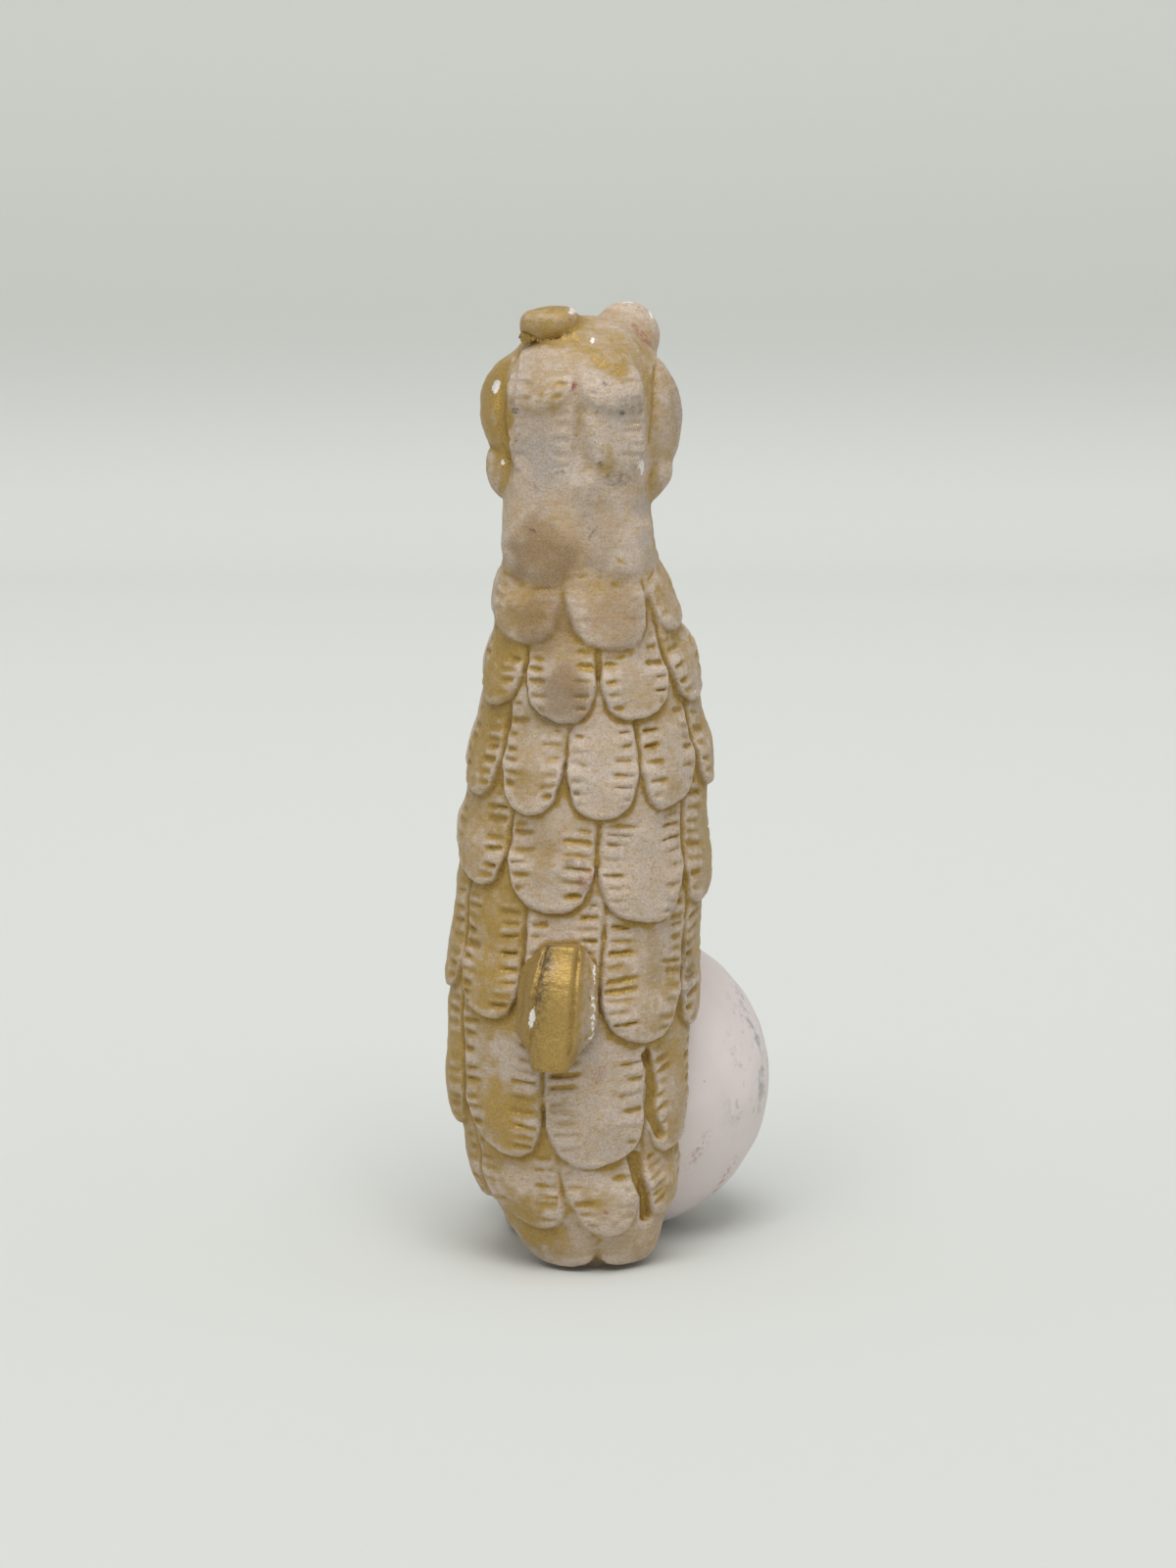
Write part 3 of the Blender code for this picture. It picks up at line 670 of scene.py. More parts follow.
# %% Rub the head and the neck
def blurred(piece, values, passes):
    """Values averaged over the points around each point."""
    average, values = averager(piece), values[:, None].astype(float)
    for _ in range(passes):
        values = average(values)
    return values[:, 0]


def rub(piece, weight, passes):
    """Smooths each point towards its neighbours, as strongly as its weight says."""
    points, average = points_of(piece), averager(piece)
    for _ in range(passes):
        points += 0.5 * weight[:, None] * (average(points) - points)
    move_points(piece, points)


RUBBED = {  # how much each kind of piece was rubbed
    "neck_pad": 1.0,
    "head_back": 1.0,
    "head_front": 1.0,
    "crown": 0.5,
    "nape": 0.3,
    "cheek": 0.35,
    "gill": 0.10,
    "brow": 0.7,
    "snout": 0.2,
    "crest": 0.05,
    "collar": 0.3,
    "hem": 0.2,
    "foot": 0.3,
    "belly": 0.3,
}
LEAST_RUBBED = 0.06
RUB_PASSES = 130
NECK_LOW, NECK_HIGH, NECK_BLEND = 0.150, 0.170, 0.003  # heights between which all was rubbed


def rubbed_share(node):
    return max([share for start, share in RUBBED.items() if node.startswith(start)], default=LEAST_RUBBED)


rubbed = np.array([rubbed_share(node) for node in skin_nodes])
rubbed = blurred(skin, rubbed[owner], 16)
height = points_of(skin)[:, 2]
on_neck = smooth_step((height - NECK_LOW) / NECK_BLEND) * smooth_step((NECK_HIGH - height) / NECK_BLEND)
rubbed = np.maximum(rubbed, on_neck)
crisp = np.isin(owner, [skin_nodes.index(node) for node in nodes_in("crest_tab", "gill_lobe")])
crisp = np.minimum(1.0, 2 * blurred(skin, 1.0 * crisp, 8))
rub(skin, rubbed * (1 - 0.9 * crisp), RUB_PASSES)
print("well rubbed:", int((rubbed > 0.5).sum()), "points")

# %% Grooves between the pieces, and the painted shade in them
SEAM_DEPTH = 0.00045
CREASE_SHADE_HALF = 0.00045  # of the dark line in a groove
ends = np.array([edge.vertices[:] for edge in skin.data.edges])
parting = owner[ends[:, 0]] != owner[ends[:, 1]]
seam = np.zeros(len(owner))
seam[ends[parting].ravel()] = 1.0
rims = KDTree(int(seam.sum()))
for number in np.flatnonzero(seam):
    rims.insert(skin.data.vertices[number].co, number)
rims.balance()
from_rim = np.array([rims.find(v.co)[2] for v in skin.data.vertices])
kept = 1 - smooth_step(rubbed * 2.5)  # seams that the rubbing left open
# painted shade: a dark line along each groove that the rubbing left open
crease = np.exp(-((from_rim / CREASE_SHADE_HALF) ** 2)) * kept
seam = np.minimum(1.0, 2.2 * blurred(skin, seam, 5)) * kept
points = points_of(skin)
seam *= 0.75 + 0.35 * ripple(points, 0.012, 5)
move_points(skin, points - outward(points) * (SEAM_DEPTH * seam)[:, None])
rub(skin, np.ones(len(owner)), 3)
print("grooves left open:", int((seam > 0.5).sum()), "points")

# %% Tool marks
MARK_PITCH = 0.0026
MARK_HALF = 0.00046
MARK_DEPTH = 0.00075
MARK_INSET = 0.0009  # rim that stays whole
MARK_FADE = 0.0007
MARK_FIRST = 0.0022  # from the tip of a scale to its first mark
SLANTS = {  # rise of the marks, from the middle of a scale to its side
    "collar_scale_3": 0.0045,
    "shoulder_scale_4": 0.0015,
    "lower_back_scale_5": 0.0020,
    "hip_scale_4": 0.0030,
    "hem_scale_4": 0.0045,
}


def tool_marks(across, height, low, high, draw, slant):
    """Depth, 0 to 1, of the short marks along both sides of a scale."""
    depth = np.zeros(len(across))
    for side in (-1, 1):
        level = low + MARK_FIRST + draw.uniform(0, 0.5) * MARK_PITCH
        while level < high:
            start, strength = draw.uniform(0.12, 0.45), draw.uniform(0.4, 1.0)
            half = MARK_HALF * draw.uniform(0.75, 1.35)
            tilt = slant + draw.uniform(-0.0007, 0.0007)
            reach = smooth_step((side * across - start) / 0.30)
            drop = height - level - tilt * across
            depth = np.maximum(depth, strength * reach * np.exp(-((drop / half) ** 2)))
            level += MARK_PITCH * draw.uniform(0.75, 1.3)
    return depth


points, normals = points_of(skin), normals_of(skin)
angle, out = round_body(points)[0], outward(points)
facing = smooth_step(((normals * out).sum(axis=1) - 0.1) / 0.4)
inside = smooth_step((from_rim - MARK_INSET) / MARK_FADE)
pressed = np.zeros(len(points))
for number, node in enumerate(scale_nodes):
    on = owner == number
    turn = round_body(points_of(frame["nodes"][node]))[0]
    across = centred(angle[on], turn.min(), turn.max())
    low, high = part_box(node)
    draw = np.random.default_rng(40 + number)
    marks = tool_marks(across, points[on, 2], low.z, high.z, draw, SLANTS.get(node, 0.0))
    pressed[on] = MARKED_ROWS[node[:-2]] * marks * inside[on]
print("marked:", len(scale_nodes), "scales")

# %% Faint marks and a groove on the head
HEAD_MARKS = 0.6  # depth, as a share of a scale's marks
HEAD_MARKS_STOP = 0.004  # below the top of a pad
GROOVE_X, GROOVE_HALF = 0.0002, 0.0015
GROOVE_DEPTH, GROOVE_PAINT = 1.1, 0.2  # in marks
GROOVE_LOW, GROOVE_HIGH, GROOVE_FADE = 0.1640, 0.1815, 0.003
GROOVE_SWAY, GROOVE_TURNS = 0.0005, 420  # sideways, and radians in a metre
for number, node in enumerate(nodes_in("crown_scale", "nape_scale")):
    on = owner == skin_nodes.index(node)
    low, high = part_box(node)
    across = centred(points[on, 0], low.x, high.x)
    draw = np.random.default_rng(130 + number)
    marks = tool_marks(across, points[on, 2], low.z, high.z - HEAD_MARKS_STOP, draw, 0.0)
    pressed[on] = HEAD_MARKS * marks * inside[on]
beside = (points[:, 0] - GROOVE_X - GROOVE_SWAY * np.sin(points[:, 2] * GROOVE_TURNS)) / GROOVE_HALF
drawn = np.exp(-(beside**2)) * smooth_step((points[:, 2] - GROOVE_LOW) / GROOVE_FADE)
drawn *= smooth_step((GROOVE_HIGH - points[:, 2]) / GROOVE_FADE) * (normals[:, 1] < 0)
deep = MARK_DEPTH * np.maximum(pressed, GROOVE_DEPTH * drawn) * facing
pressed = np.maximum(pressed, GROOVE_PAINT * drawn) * facing
print("groove:", int((drawn > 0.5).sum()), "points")

# %% Channels and lines, a painted shadow line under the crest, and the pit in the crest
CHANNELS = (  # half width, depth, paint, and a path across and up in millimetres, as seen from behind
    (1.2, 1.5, 1.0, ((12.6, 46.0), (14.3, 39.0), (13.9, 34.0), (15.6, 29.5))),
    (1.1, 1.4, 1.0, ((9.9, 24.6), (10.7, 20.2), (12.4, 16.2), (12.3, 11.8))),
    (0.5, 0.4, 0.3, ((-13.8, 190.0), (-14.8, 184.0), (-14.8, 176.0), (-15.2, 165.0))),
    (0.5, 0.3, 0.1, ((14.6, 187.0), (14.3, 183.7), (13.8, 178.0), (13.0, 172.0))),
    # under the crest: a cut line whose paint is a painted shadow below the crest's overhanging edge
    (0.6, 1.2, 1.0, ((-12.8, 194.2), (-9.3, 193.2), (-5.8, 193.6))),
)
PIT_AT, PIT_HALF, PIT_DEPTH = np.array((-0.0034, -0.0150, 0.1966)), (0.0010, 0.0040, 0.0009), 0.0012


def along_path(points, path):
    """Distance from a line through the places of a path, seen from behind."""
    flat, nearest = points[:, (0, 2)], np.full(len(points), 1.0)
    places = np.array(path) / 1000
    for start, end in zip(places[:-1], places[1:]):
        share = np.clip((flat - start) @ (end - start) / ((end - start) @ (end - start)), 0, 1)
        nearest = np.minimum(nearest, np.linalg.norm(flat - start - share[:, None] * (end - start), axis=1))
    return nearest


behind = smooth_step(-normals[:, 1] / 0.3)
for half, depth, painted, path in CHANNELS:
    cut = np.exp(-((1000 * along_path(points, path) / half) ** 4)) * behind
    deep = np.maximum(deep, 0.001 * depth * cut)
    pressed = np.maximum(pressed, painted * cut)
pit = np.exp(-(np.linalg.norm((points - PIT_AT) / PIT_HALF, axis=1) ** 2))
deep = np.maximum(deep, PIT_DEPTH * pit)
move_points(skin, points - out * deep[:, None])
roughen(skin, 10)
print("deepest mark, mm:", round(1000 * deep.max(), 2))

# %% [markdown]
# ## Eyes
# The eyes are beads of their own, and keep the shape of their solids. Growing a piece a little, remeshing it
# and smoothing it rounds its edges as kneading does.

# %% Eyes
pieces = {}  # piece name: object, the nodes that it stands for, slot


def keep_piece(piece, nodes, slot, material, angle=180):
    piece.data.materials.clear()
    piece.data.materials.append(material)
    only(piece)
    bpy.ops.object.shade_smooth_by_angle(angle=math.radians(angle))
    pieces[piece.name] = (piece, nodes, slot)


def knead(piece, grow, voxel, passes):
    """Grows a piece, remeshes it evenly and rubs its edges round."""
    apply(piece, "DISPLACE", strength=grow, mid_level=0.0)
    apply(piece, "REMESH", mode="VOXEL", voxel_size=voxel)
    apply(piece, "SMOOTH", factor=0.5, iterations=passes)


for seed, side in enumerate(("left", "right")):
    eye = clay_copy("eye_" + side + "_bead", "eye_" + side)
    apply(eye, "SUBSURF", levels=2, render_levels=2)
    knead(eye, grow=0.0004, voxel=0.0003, passes=4)
    roughen(eye, 70 + seed, 0.0001, 0.00003)
    keep_piece(eye, ("eye_" + side,), "dark_paint", dark_paint)
print("eyes:", list(pieces))

# %% [markdown]
# ## Fin
# The fin is a tab set on the middle of the lower back, cut square at its lower end. A flat strip runs down
# its ridge, with a drawn line on both sides, and its right flank ends in a raised rim. The strip is the
# brightest gold.

# %% Fin
STRIP = 0.36  # half of the strip, in half widths of the fin, as are LINE_HALF, RIM_AT and RIM_HALF
STRIP_DISH = 0.0003
LINE_HALF, LINE_DEPTH = 0.06, 0.0010
RIM_AT, RIM_HALF, RIM_LIFT = 0.86, 0.10, 0.0008
FLANK_SUNK = 0.0007
fin = soft_copy("dorsal_fin_clay", "dorsal_fin")
knead(fin, grow=0.0003, voxel=0.00034, passes=4)
points, normals = points_of(fin), normals_of(fin)
angle, out = round_body(points)
fin_across = centred(angle, angle.min(), angle.max())
fin_down = (points[:, 2].max() - points[:, 2]) / np.ptp(points[:, 2])
fin_facing = smooth_step((normals * out).sum(axis=1) / 0.3)
line = np.exp(-(((np.abs(fin_across) - STRIP) / LINE_HALF) ** 2))
strip = smooth_step((STRIP - np.abs(fin_across)) / 0.1)
rim = np.exp(-(((fin_across - RIM_AT) / RIM_HALF) ** 2))
lift = STRIP_DISH * strip * (fin_across / STRIP) ** 2 - LINE_DEPTH * line
lift += (RIM_LIFT * rim - FLANK_SUNK * smooth_step((fin_across - STRIP) / 0.2)) * smooth_step(fin_down * 4)
move_points(fin, points + out * (lift * fin_facing)[:, None])
roughen(fin, 33)
keep_piece(fin, ("dorsal_fin",), "gold_washed_clay", gold_washed_clay)
print("fin:", len(fin.data.vertices), "points")

# %% [markdown]
# ## Ball and tail
# The ball is the smoothest piece, burnished pale. It is round to the eye, so it starts as a true sphere at
# the place of its solid, is pressed flat on the floor, and is cut to fit the body. The tail is hidden in the
# photograph, and is made plain and soft, like the rest.

# %% Ball
SCRATCHES = ((0.52, -0.32, 0.10), (0.72, -0.55, 0.09), (0.66, -0.66, 0.07))  # across, up and length, in radii
SCRATCH_HALF, SCRATCH_LEAN = 0.025, 0.5
solid = points_of(frame["nodes"]["pinched_ball"])
low, high = solid.min(axis=0), solid.max(axis=0)
widest = solid[solid[:, 0] > high[0] - MERGE]
radius = high[1] - widest[:, 1].mean()
centre = np.array(((low[0] + high[0]) / 2, widest[:, 1].mean(), high[2] - radius))
bpy.ops.object.select_all(action="DESELECT")
bpy.ops.mesh.primitive_uv_sphere_add(segments=160, ring_count=80, radius=radius, location=centre)
ball = bpy.context.active_object
ball.name = ball.data.name = "ball_clay"
bpy.ops.object.transform_apply(location=True, rotation=True, scale=True)
move_points(ball, points_of(ball))
roughen(ball, 90, 0.00010, 0.0, False)
apply(ball, "BOOLEAN", object=forms[0], operation="DIFFERENCE", solver="EXACT")
points = points_of(ball)
keep_piece(ball, ("pinched_ball",), "pale_clay", pale_clay, 40)
level = (points - centre) / radius
paint(ball, "smudged", smooth_step((level[:, 0] - 0.62) / 0.25) * smooth_step((level[:, 2] + 0.35) / 0.3))
scratched = np.zeros(len(points))
for x, z, size in SCRATCHES:
    leaning = level[:, 0] - x - SCRATCH_LEAN * (level[:, 2] - z)
    near = np.exp(-((leaning / SCRATCH_HALF) ** 2) - ((level[:, 2] - z) / size) ** 2)
    scratched = np.maximum(scratched, near * (level[:, 1] < 0))
paint(ball, "scratched", scratched)
print("ball radius, mm:", round(1000 * radius, 2), "centre, mm:", np.round(1000 * centre, 1))

# %% Tail
tail = clay_copy("tail_clay", "tail")
apply(tail, "SUBSURF", levels=2, render_levels=2)
knead(tail, grow=0.0003, voxel=0.0004, passes=6)
roughen(tail, 80, 0.00012)
keep_piece(tail, ("tail",), "pink_clay", gold_washed_clay)
print("tail:", len(tail.data.vertices), "points")

# %% [markdown]
# ## Wash and wear
# The wash is thin along the middle of the back and thick at the sides, and it was wiped off in patches. Each
# solid has a share of gold, which is blurred so that it changes softly. Then single touches are laid on by
# place, as seen from behind: worn pads, golden cheeks, chips and stains.

# %% Hollows and ridges, and what lies close
HEAD_WIPED, WIPED_FROM = 0.65, 0.158  # share of the pigment wiped off, above this height


def place_of(piece):
    points = points_of(piece)
    return points.min(axis=0), points.max(axis=0), tree_of(piece)


def settle(piece, gilt, neighbours, pressed=0.0, worn=0.3):
    """Paints where pigment stays and wears, and the share of gold."""
    height = relief(piece, 14) / RELIEF_DEPTH
    wide = relief(piece, 60) / (5 * RELIEF_DEPTH)
    hollow = np.maximum(smooth_step(-height - 0.25), 0.8 * smooth_step(-wide))
    hollow = np.maximum(np.maximum(hollow, pressed), closeness(piece, neighbours))
    hollow *= 1 - HEAD_WIPED * smooth_step((points_of(piece)[:, 2] - WIPED_FROM) / HEAD_BLEND)
    ridge = np.maximum(smooth_step(height - 0.25), 0.25 * smooth_step(wide))
    paint(piece, "hollow", hollow)
    paint(piece, "ridge", worn * ridge * (1 - hollow))
    paint(piece, "gilt", gilt)


# %% Share of gold
GILT = {  # share of gold on each kind of piece, in the order of their numbers
    "collar_scale": (0.55, 0.42, 0.55),
    "shoulder_scale": (0.90, 0.60, 0.42, 0.60),
    "upper_back_scale": (0.80, 0.45, 0.12, 0.38, 0.55),
    "mid_back_scale": (0.65, 0.48, 0.14, 0.60),
    "lower_back_scale": (0.75, 0.78, 0.20, 0.45, 0.60),
    "hip_scale": (0.90, 0.70, 0.30, 0.60),
    "hem_scale": (0.70, 0.60, 0.45, 0.55),
    "foot_lobe": (0.32, 0.38),
    "belly_band": (0.20, 0.25, 0.20, 0.30),
    "neck_pad": (0.35, 0.35),
    "crown_scale": (0.38, 0.15),
    "nape_scale": (0.02, 0.25),
    "cheek": (1.0, 0.42),
    "gill_lobe": (0.85, 0.45),
    "brow_knob": (0.40,),
    "snout": (0.22,),
    "crest_tab": (1.0,),
    "body": (0.55, 0.70),
    "head": (0.60, 0.40),
}
TOUCHES = (  # place, half sizes in millimetres and turn in degrees, and the share of gold there
    (4, 191, 10, 4, 0, 0.70),  # crown
    (-17, 177, 3, 14, 0, 1.05),
    (6, 189, 7, 4.5, -20, 0.75),
    (-8, 183, 6, 6, 0, 0.65),  # upper pads
    (6, 180, 5, 4, 0, 0.10),
    (-8, 169, 7, 7, 0, 0.0),  # lower pads
    (4, 169, 3, 5, 0, 0.75),
    (11, 168, 3, 6, 0, 0.05),
    (8, 199, 9, 6, 0, 0.40),  # brow
    (-7, 150.5, 8.5, 10, 0, 0.50),  # neck
    (1, 156, 3.5, 10, 25, 0.30),
    (9, 154, 4, 9, 0, 0.30),
    (7.3, 148.6, 2.2, 0.6, -35, 1.0),
    (-4, 122, 7, 8, 0, 0.45),  # shoulder
    (-17, 33, 6, 6, 0, 0.80),  # hip
    (-14, 46, 8, 7, 0, 0.22),
    (-12, 22, 7, 6, 0, 0.25),  # hem
    (-10, 8, 14, 5, -20, 0.75),
    (2, 24, 6, 6, 0, 0.25),
)
PATCH_FRONT = 0.022  # no patch lies further forward


def patch_on(piece, x, z, half_x, half_z, turn, soft=0.6):
    """1 in a ragged oval on the side that faces the back, falling to 0 at its rim. Sizes in millimetres."""
    points, normals = points_of(piece), normals_of(piece)
    aside, up = 1000 * points[:, 0] - x, 1000 * points[:, 2] - z
    cosine, sine = math.cos(math.radians(turn)), math.sin(math.radians(turn))
    far = np.hypot((aside * cosine + up * sine) / half_x, (up * cosine - aside * sine) / half_z)
    far += 0.18 * ripple(points, 0.005, int(7 * abs(x) + abs(z)))
    behind = smooth_step((0.4 - normals[:, 1]) / 0.4) * smooth_step((PATCH_FRONT - points[:, 1]) / 0.005)
    return smooth_step((1 - far) / soft) * behind


shares = np.empty(len(skin_nodes))
for row, values in GILT.items():
    shares[[skin_nodes.index(node) for node in nodes_in(row) if node in skin_nodes]] = values
gilt = blurred(skin, shares[owner], 14)
for *oval, share in TOUCHES:
    gilt += (share - gilt) * patch_on(skin, *oval)
# what is pressed counts as hollow: wash settled in the marks and channels, and a painted shadow under the
# crest
settle(skin, gilt, [place_of(piece) for piece in (fin, ball)], 0.6 * pressed, 1.0)
# painted shade in the open grooves and the deepest tool marks
paint(skin, "crease", np.maximum(crease, 0.35 * pressed**3))
around = [place_of(skin)]
left_flank, right_flank = smooth_step((-fin_across - STRIP) / 0.1), smooth_step((fin_across - STRIP) / 0.3)
settle(fin, 1.0 + 0.05 * strip - 0.4 * right_flank, around, 0.7 * left_flank, 0.15)
settle(tail, np.full(len(tail.data.vertices), 0.2), around)
print("share of gold:", round(gilt.min(), 2), "to", round(gilt.max(), 2))

# %% Chips and stains
SOFTNESS = {"bare": 0.9, "soot": 0.35, "red": 0.35, "dirt": 0.6, "grey": 0.7}  # of the rims
STAINS = {  # place, half sizes in millimetres, turn in degrees, and strength
    "bare": (
        (-18.2, 183, 1.4, 2.6, -15, 1),
        (8.5, 200.2, 5, 1.5, 0, 0.8),
        (13.6, 197, 1.1, 3, 20, 0.75),
        (-2.6, 198.4, 2, 1, 0, 0.7),
        (1.5, 192.8, 0.8, 1, 0, 0.8),
        (-16.8, 167.6, 0.9, 1.2, 0, 0.8),
        (11.2, 167.5, 1.6, 3, 15, 0.7),
        (10.5, 176, 0.5, 1.8, 60, 0.7),
    ),
    "soot": (
        (9.5, 180, 3.2, 2.2, -25, 0.4),
        (7.4, 178.6, 1, 0.9, 0, 1),
        (4.1, 184.4, 0.7, 0.5, 0, 1),
        (2.3, 178.9, 0.5, 0.5, 0, 0.9),
        (5.2, 175.9, 0.5, 0.5, 0, 0.9),
        (19, 180, 2, 8, 0, 0.25),
        (6.5, 165, 3.5, 2, 0, 0.55),
        (-14.2, 178.7, 0.9, 0.8, 0, 1),
        (-14.1, 172.5, 0.5, 0.4, 0, 0.9),
        (-5.1, 166.5, 1.6, 0.8, 20, 0.6),
        (3.2, 168.3, 0.6, 0.6, 0, 0.9),
        (3.3, 170.7, 0.6, 0.5, 0, 0.9),
        (-10.7, 154.7, 1.3, 0.6, -25, 0.9),
        (1.5, 154.2, 0.4, 2.4, -35, 0.8),
        (-3.5, 194, 1, 0.9, 0, 0.9),
        (-3, 123, 6, 5, 0, 0.16),
        (21, 63, 2, 7, 0, 0.5),
        (-2, 87, 3, 2, 0, 0.5),
    ),
    "red": (
        (11.8, 192.8, 0.9, 3.8, 41, 0.9),
        (18.5, 186, 1.5, 4, 20, 0.8),
        (-2, 183.7, 0.8, 1.8, 0, 1),
        (-3, 196.8, 0.5, 0.6, 0, 0.9),
        (0, 84, 2, 3, 0, 0.6),
        (4, 14, 1.5, 0.6, 0, 0.9),
        (3, 44, 2, 3, 0, 0.5),
    ),
    "dirt": (
        (-8, 150, 10, 11, 0, 1),  # neck
        (2, 155, 7, 10, 25, 0.55),
        (-8, 137, 9, 9, 0, 0.85),  # collar
        (7, 138, 8, 9, 0, 0.65),
        (-4, 122, 7, 8, 0, 1),  # shoulder
        (-9, 92, 6, 6, 0, 0.4),
    ),
    "grey": (
        (11.6, 158.6, 2.5, 3, 0, 1),
        (12, 152.5, 2.5, 3, 0, 0.9),
        (6, 179, 6, 5, 0, 0.5),
        (-9.5, 170, 7, 8, 0, 0.8),
        (1, 156, 3, 8, 25, 0.4),
        (-8, 118, 9, 9, 0, 0.45),
        (14, 66, 4, 8, 0, 0.4),
        (19, 181, 2, 7, 0, 0.2),
    ),
}
for kind, spots in STAINS.items():
    amount = np.zeros(len(skin.data.vertices))
    for *oval, strength in spots:
        amount = np.maximum(amount, strength * patch_on(skin, *oval, SOFTNESS[kind]))
    paint(skin, kind, amount)
streak = np.exp(-(((fin_across + 0.27) / 0.16) ** 2)) * (0.35 + 0.65 * smooth_step((0.75 - fin_down) / 0.4))
paint(fin, "soot", streak * fin_facing)
paint(fin, "dirt", np.full(len(fin_across), 0.12))
chip = np.exp(-(((fin_across + STRIP) / 0.07) ** 2) - ((fin_down - 0.58) / 0.09) ** 2)
paint(fin, "bare", fin_facing * np.maximum(chip, 0.5 * rim))
print("stains:", list(STAINS))

# %% [markdown]
# ## Parted again
# The skin is parted along the grooves, one piece for each solid, with a wall of a millimetre turned in. The
# two body shells share one piece, and so do the two head shells. A closed form, sunk a little, is under each.

# %% Part the skin
PIECE_THICK = 0.0010
FORM_LIFT = 0.0004  # of the closed forms above the floor
OTHER_SLOTS = {
    "belly_band": "pale_clay",
    "brow_knob": "pale_clay",
    "snout": "pale_clay",
    "foot_lobe": "pink_clay",
}
groups = {node: node + "_clay" for node in skin_nodes}
groups.update({node: node[:4] + "_skin" for node in shell_nodes})
names = sorted(set(groups.values()))
for name in names:
    skin.data.materials.append(bpy.data.materials.new(name))
group = np.array([names.index(groups[node]) for node in skin_nodes], np.int32)
starts = np.empty(len(skin.data.polygons), np.int32)
corner = np.empty(len(skin.data.loops), np.int32)
skin.data.polygons.foreach_get("loop_start", starts)
skin.data.loops.foreach_get("vertex_index", corner)
skin.data.polygons.foreach_set("material_index", group[owner[corner[starts]]])
before = set(bpy.data.objects)
only(skin)
mode("EDIT")
bpy.ops.mesh.select_all(action="SELECT")
bpy.ops.mesh.separate(type="MATERIAL")
mode("OBJECT")
parted = {o.data.materials[0].name: o for o in [skin] + [o for o in bpy.data.objects if o not in before]}
print("parted into", len(parted), "of", len(names))

# %% Give each piece a wall
for piece in parted.values():
    apply(piece, "SOLIDIFY", thickness=PIECE_THICK, offset=-1.0)
for form in forms:
    points = points_of(form)
    points[:, 2] = np.maximum(points[:, 2], FORM_LIFT)
    move_points(form, points)
    only(parted[form.name], form)
    bpy.ops.object.join()
for name, piece in parted.items():
    bpy.data.materials.remove(bpy.data.materials[name])
    piece.name = piece.data.name = name
    nodes = [node for node in skin_nodes if groups[node] == name]
    slot = next((slot for start, slot in OTHER_SLOTS.items() if name.startswith(start)), "gold_washed_clay")
    keep_piece(piece, nodes, slot, gold_washed_clay, 60)
print("pieces:", len(pieces))

# %% [markdown]
# ## Inside pieces
# The foot plate and the seam coils hardly show. Their solids are right as they are and only take the clay's
# finish.

# %% Plain clay on the solids that stay
INSIDE = ("foot_plate", "seam_coil_left", "seam_coil_right")
for node in INSIDE:
    solid = frame["nodes"][node]
    solid.data.materials.clear()
    solid.data.materials.append(gold_washed_clay)
print("shown as they are:", INSIDE)

# %% [markdown]
# ## Floor and light
# A pale sheet runs back and sweeps up behind, with painted light and shade: it is darker near the camera,
# lighter far back, and lighter higher up the wall. One large soft lamp hangs high above the camera, and the
# sky fills the rest, at a level that shows colours about as they are written.

# %% Stage
FLOOR_HALF_X, FLOOR_HALF_Y = 2.5, 2.0
FLOOR_BACK = 1.35
SWEEP, SWEEP_STEPS = 0.35, 12  # radius, and steps of the curve
WALL_HIGH = 2.5
# painted light and shade of the sheet: darker near the camera, lighter far back and higher up the wall
FLOOR_NEAR_SHADED, FLOOR_FAR_LIT = srgb(203, 205, 201), srgb(237, 239, 236)
WALL_LOW_SHADED, WALL_TOP_LIT = srgb(210, 212, 207), srgb(219, 221, 216)
bpy.ops.object.select_all(action="DESELECT")
bpy.ops.mesh.primitive_plane_add(size=2, location=(0, FLOOR_BACK - FLOOR_HALF_Y, 0))
floor = bpy.context.active_object
floor.name = "floor"
floor.scale = (FLOOR_HALF_X, FLOOR_HALF_Y, 1)
bpy.ops.object.transform_apply(location=True, rotation=True, scale=True)
mode("EDIT")
bpy.ops.mesh.select_mode(type="EDGE")
bpy.ops.mesh.select_all(action="DESELECT")
mode("OBJECT")
for edge in floor.data.edges:
    edge.select = all(floor.data.vertices[v].co.y > FLOOR_BACK - 0.01 for v in edge.vertices)
mode("EDIT")
for step in range(SWEEP_STEPS):
    turn = math.pi / 2 * (step + 0.5) / SWEEP_STEPS
    rise = SWEEP * math.pi / 2 / SWEEP_STEPS
    move = (0, rise * math.cos(turn), rise * math.sin(turn))
    bpy.ops.mesh.extrude_edges_move(TRANSFORM_OT_translate={"value": move})
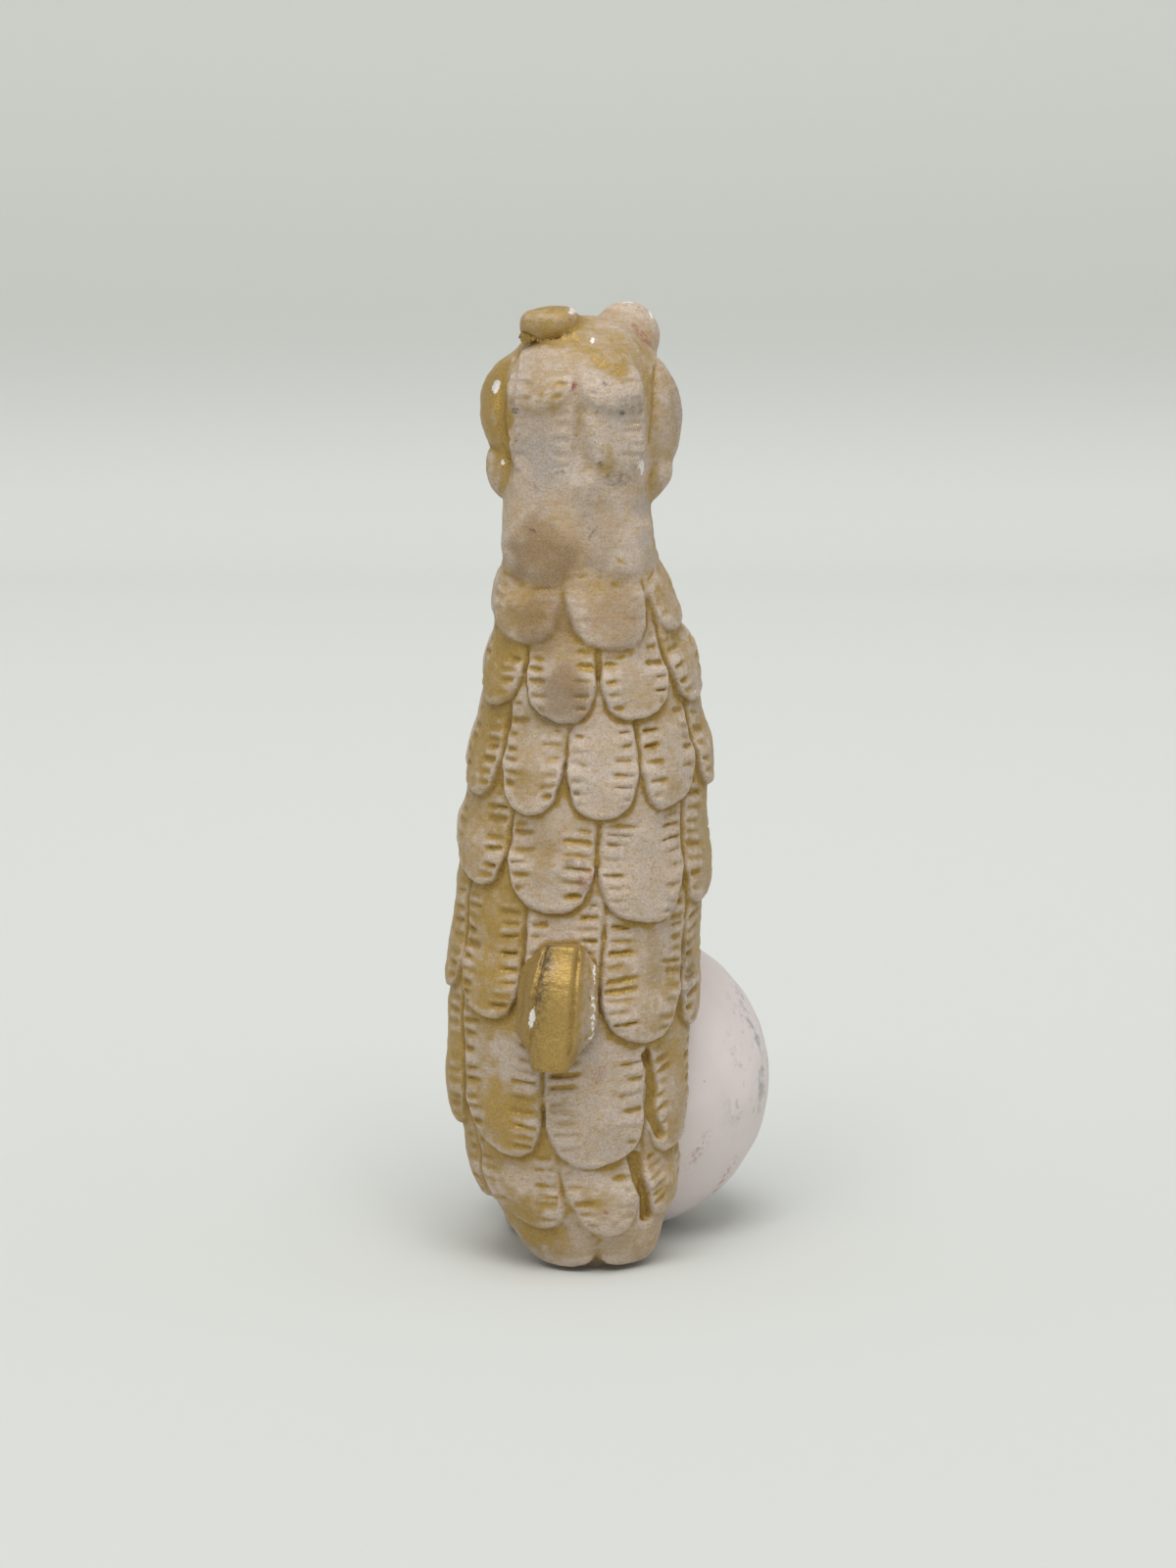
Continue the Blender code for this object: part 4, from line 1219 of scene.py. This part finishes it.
bpy.ops.mesh.extrude_edges_move(TRANSFORM_OT_translate={"value": (0, 0, WALL_HIGH)})
mode("OBJECT")
bpy.ops.object.shade_smooth()
sheet = Finish("pale_sheet")
split = sheet.add("ShaderNodeSeparateXYZ", {0: sheet.place}, output="Z").node
back, height = split.outputs["Y"], split.outputs["Z"]
# painted light and shade: the floor lightens towards the back, and the wall towards its top
floor_painted_light = sheet.mix(sheet.ramp(back, -0.6, 1.3), FLOOR_NEAR_SHADED, FLOOR_FAR_LIT)
wall = sheet.mix(sheet.ramp(height, 0.10, 0.30), WALL_LOW_SHADED, WALL_TOP_LIT)
sheet.link(sheet.mix(sheet.ramp(height, 0.0, 0.12), floor_painted_light, wall), "Base Color")
sheet.shader.inputs["Roughness"].default_value = 0.9
sheet.shader.inputs["Specular IOR Level"].default_value = 0.1
floor.data.materials.append(sheet.material)
floor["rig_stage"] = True
print("floor reaches back, m:", FLOOR_BACK + SWEEP)

# %% Lamp and sky
LAMP_AT, LAMP_AIM = Vector((-0.05, -0.9, 1.9)), Vector((0, 0, 0.1))
LAMP_SIZE, LAMP_WATTS = 1.3, 28
SKY, SKY_STRENGTH = (1.0, 1.0, 0.99, 1.0), 0.60
bpy.ops.object.light_add(type="AREA", location=LAMP_AT)
lamp = bpy.context.active_object
lamp.data.size = LAMP_SIZE
lamp.data.energy = LAMP_WATTS
lamp.rotation_euler = (LAMP_AIM - LAMP_AT).to_track_quat("-Z", "Y").to_euler()
world = bpy.context.scene.world or bpy.data.worlds.new("sky")
bpy.context.scene.world = world
world.use_nodes = True
sky = world.node_tree.nodes["Background"]
sky.inputs["Color"].default_value = SKY
sky.inputs["Strength"].default_value = SKY_STRENGTH
print("lamp at", LAMP_AT[:])

# %% [markdown]
# ## On the body
# Every piece rides on the one body, stands for its solids, and names its slot. The box of the dressed figure
# is measured.

# %% Ride and finish
for piece, nodes, slot in pieces.values():
    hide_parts(*nodes)
    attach(piece, "root")
bpy.context.view_layer.update()
low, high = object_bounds()
print("triangles:", sum(2 * len(piece.data.polygons) for piece, *_ in pieces.values()))
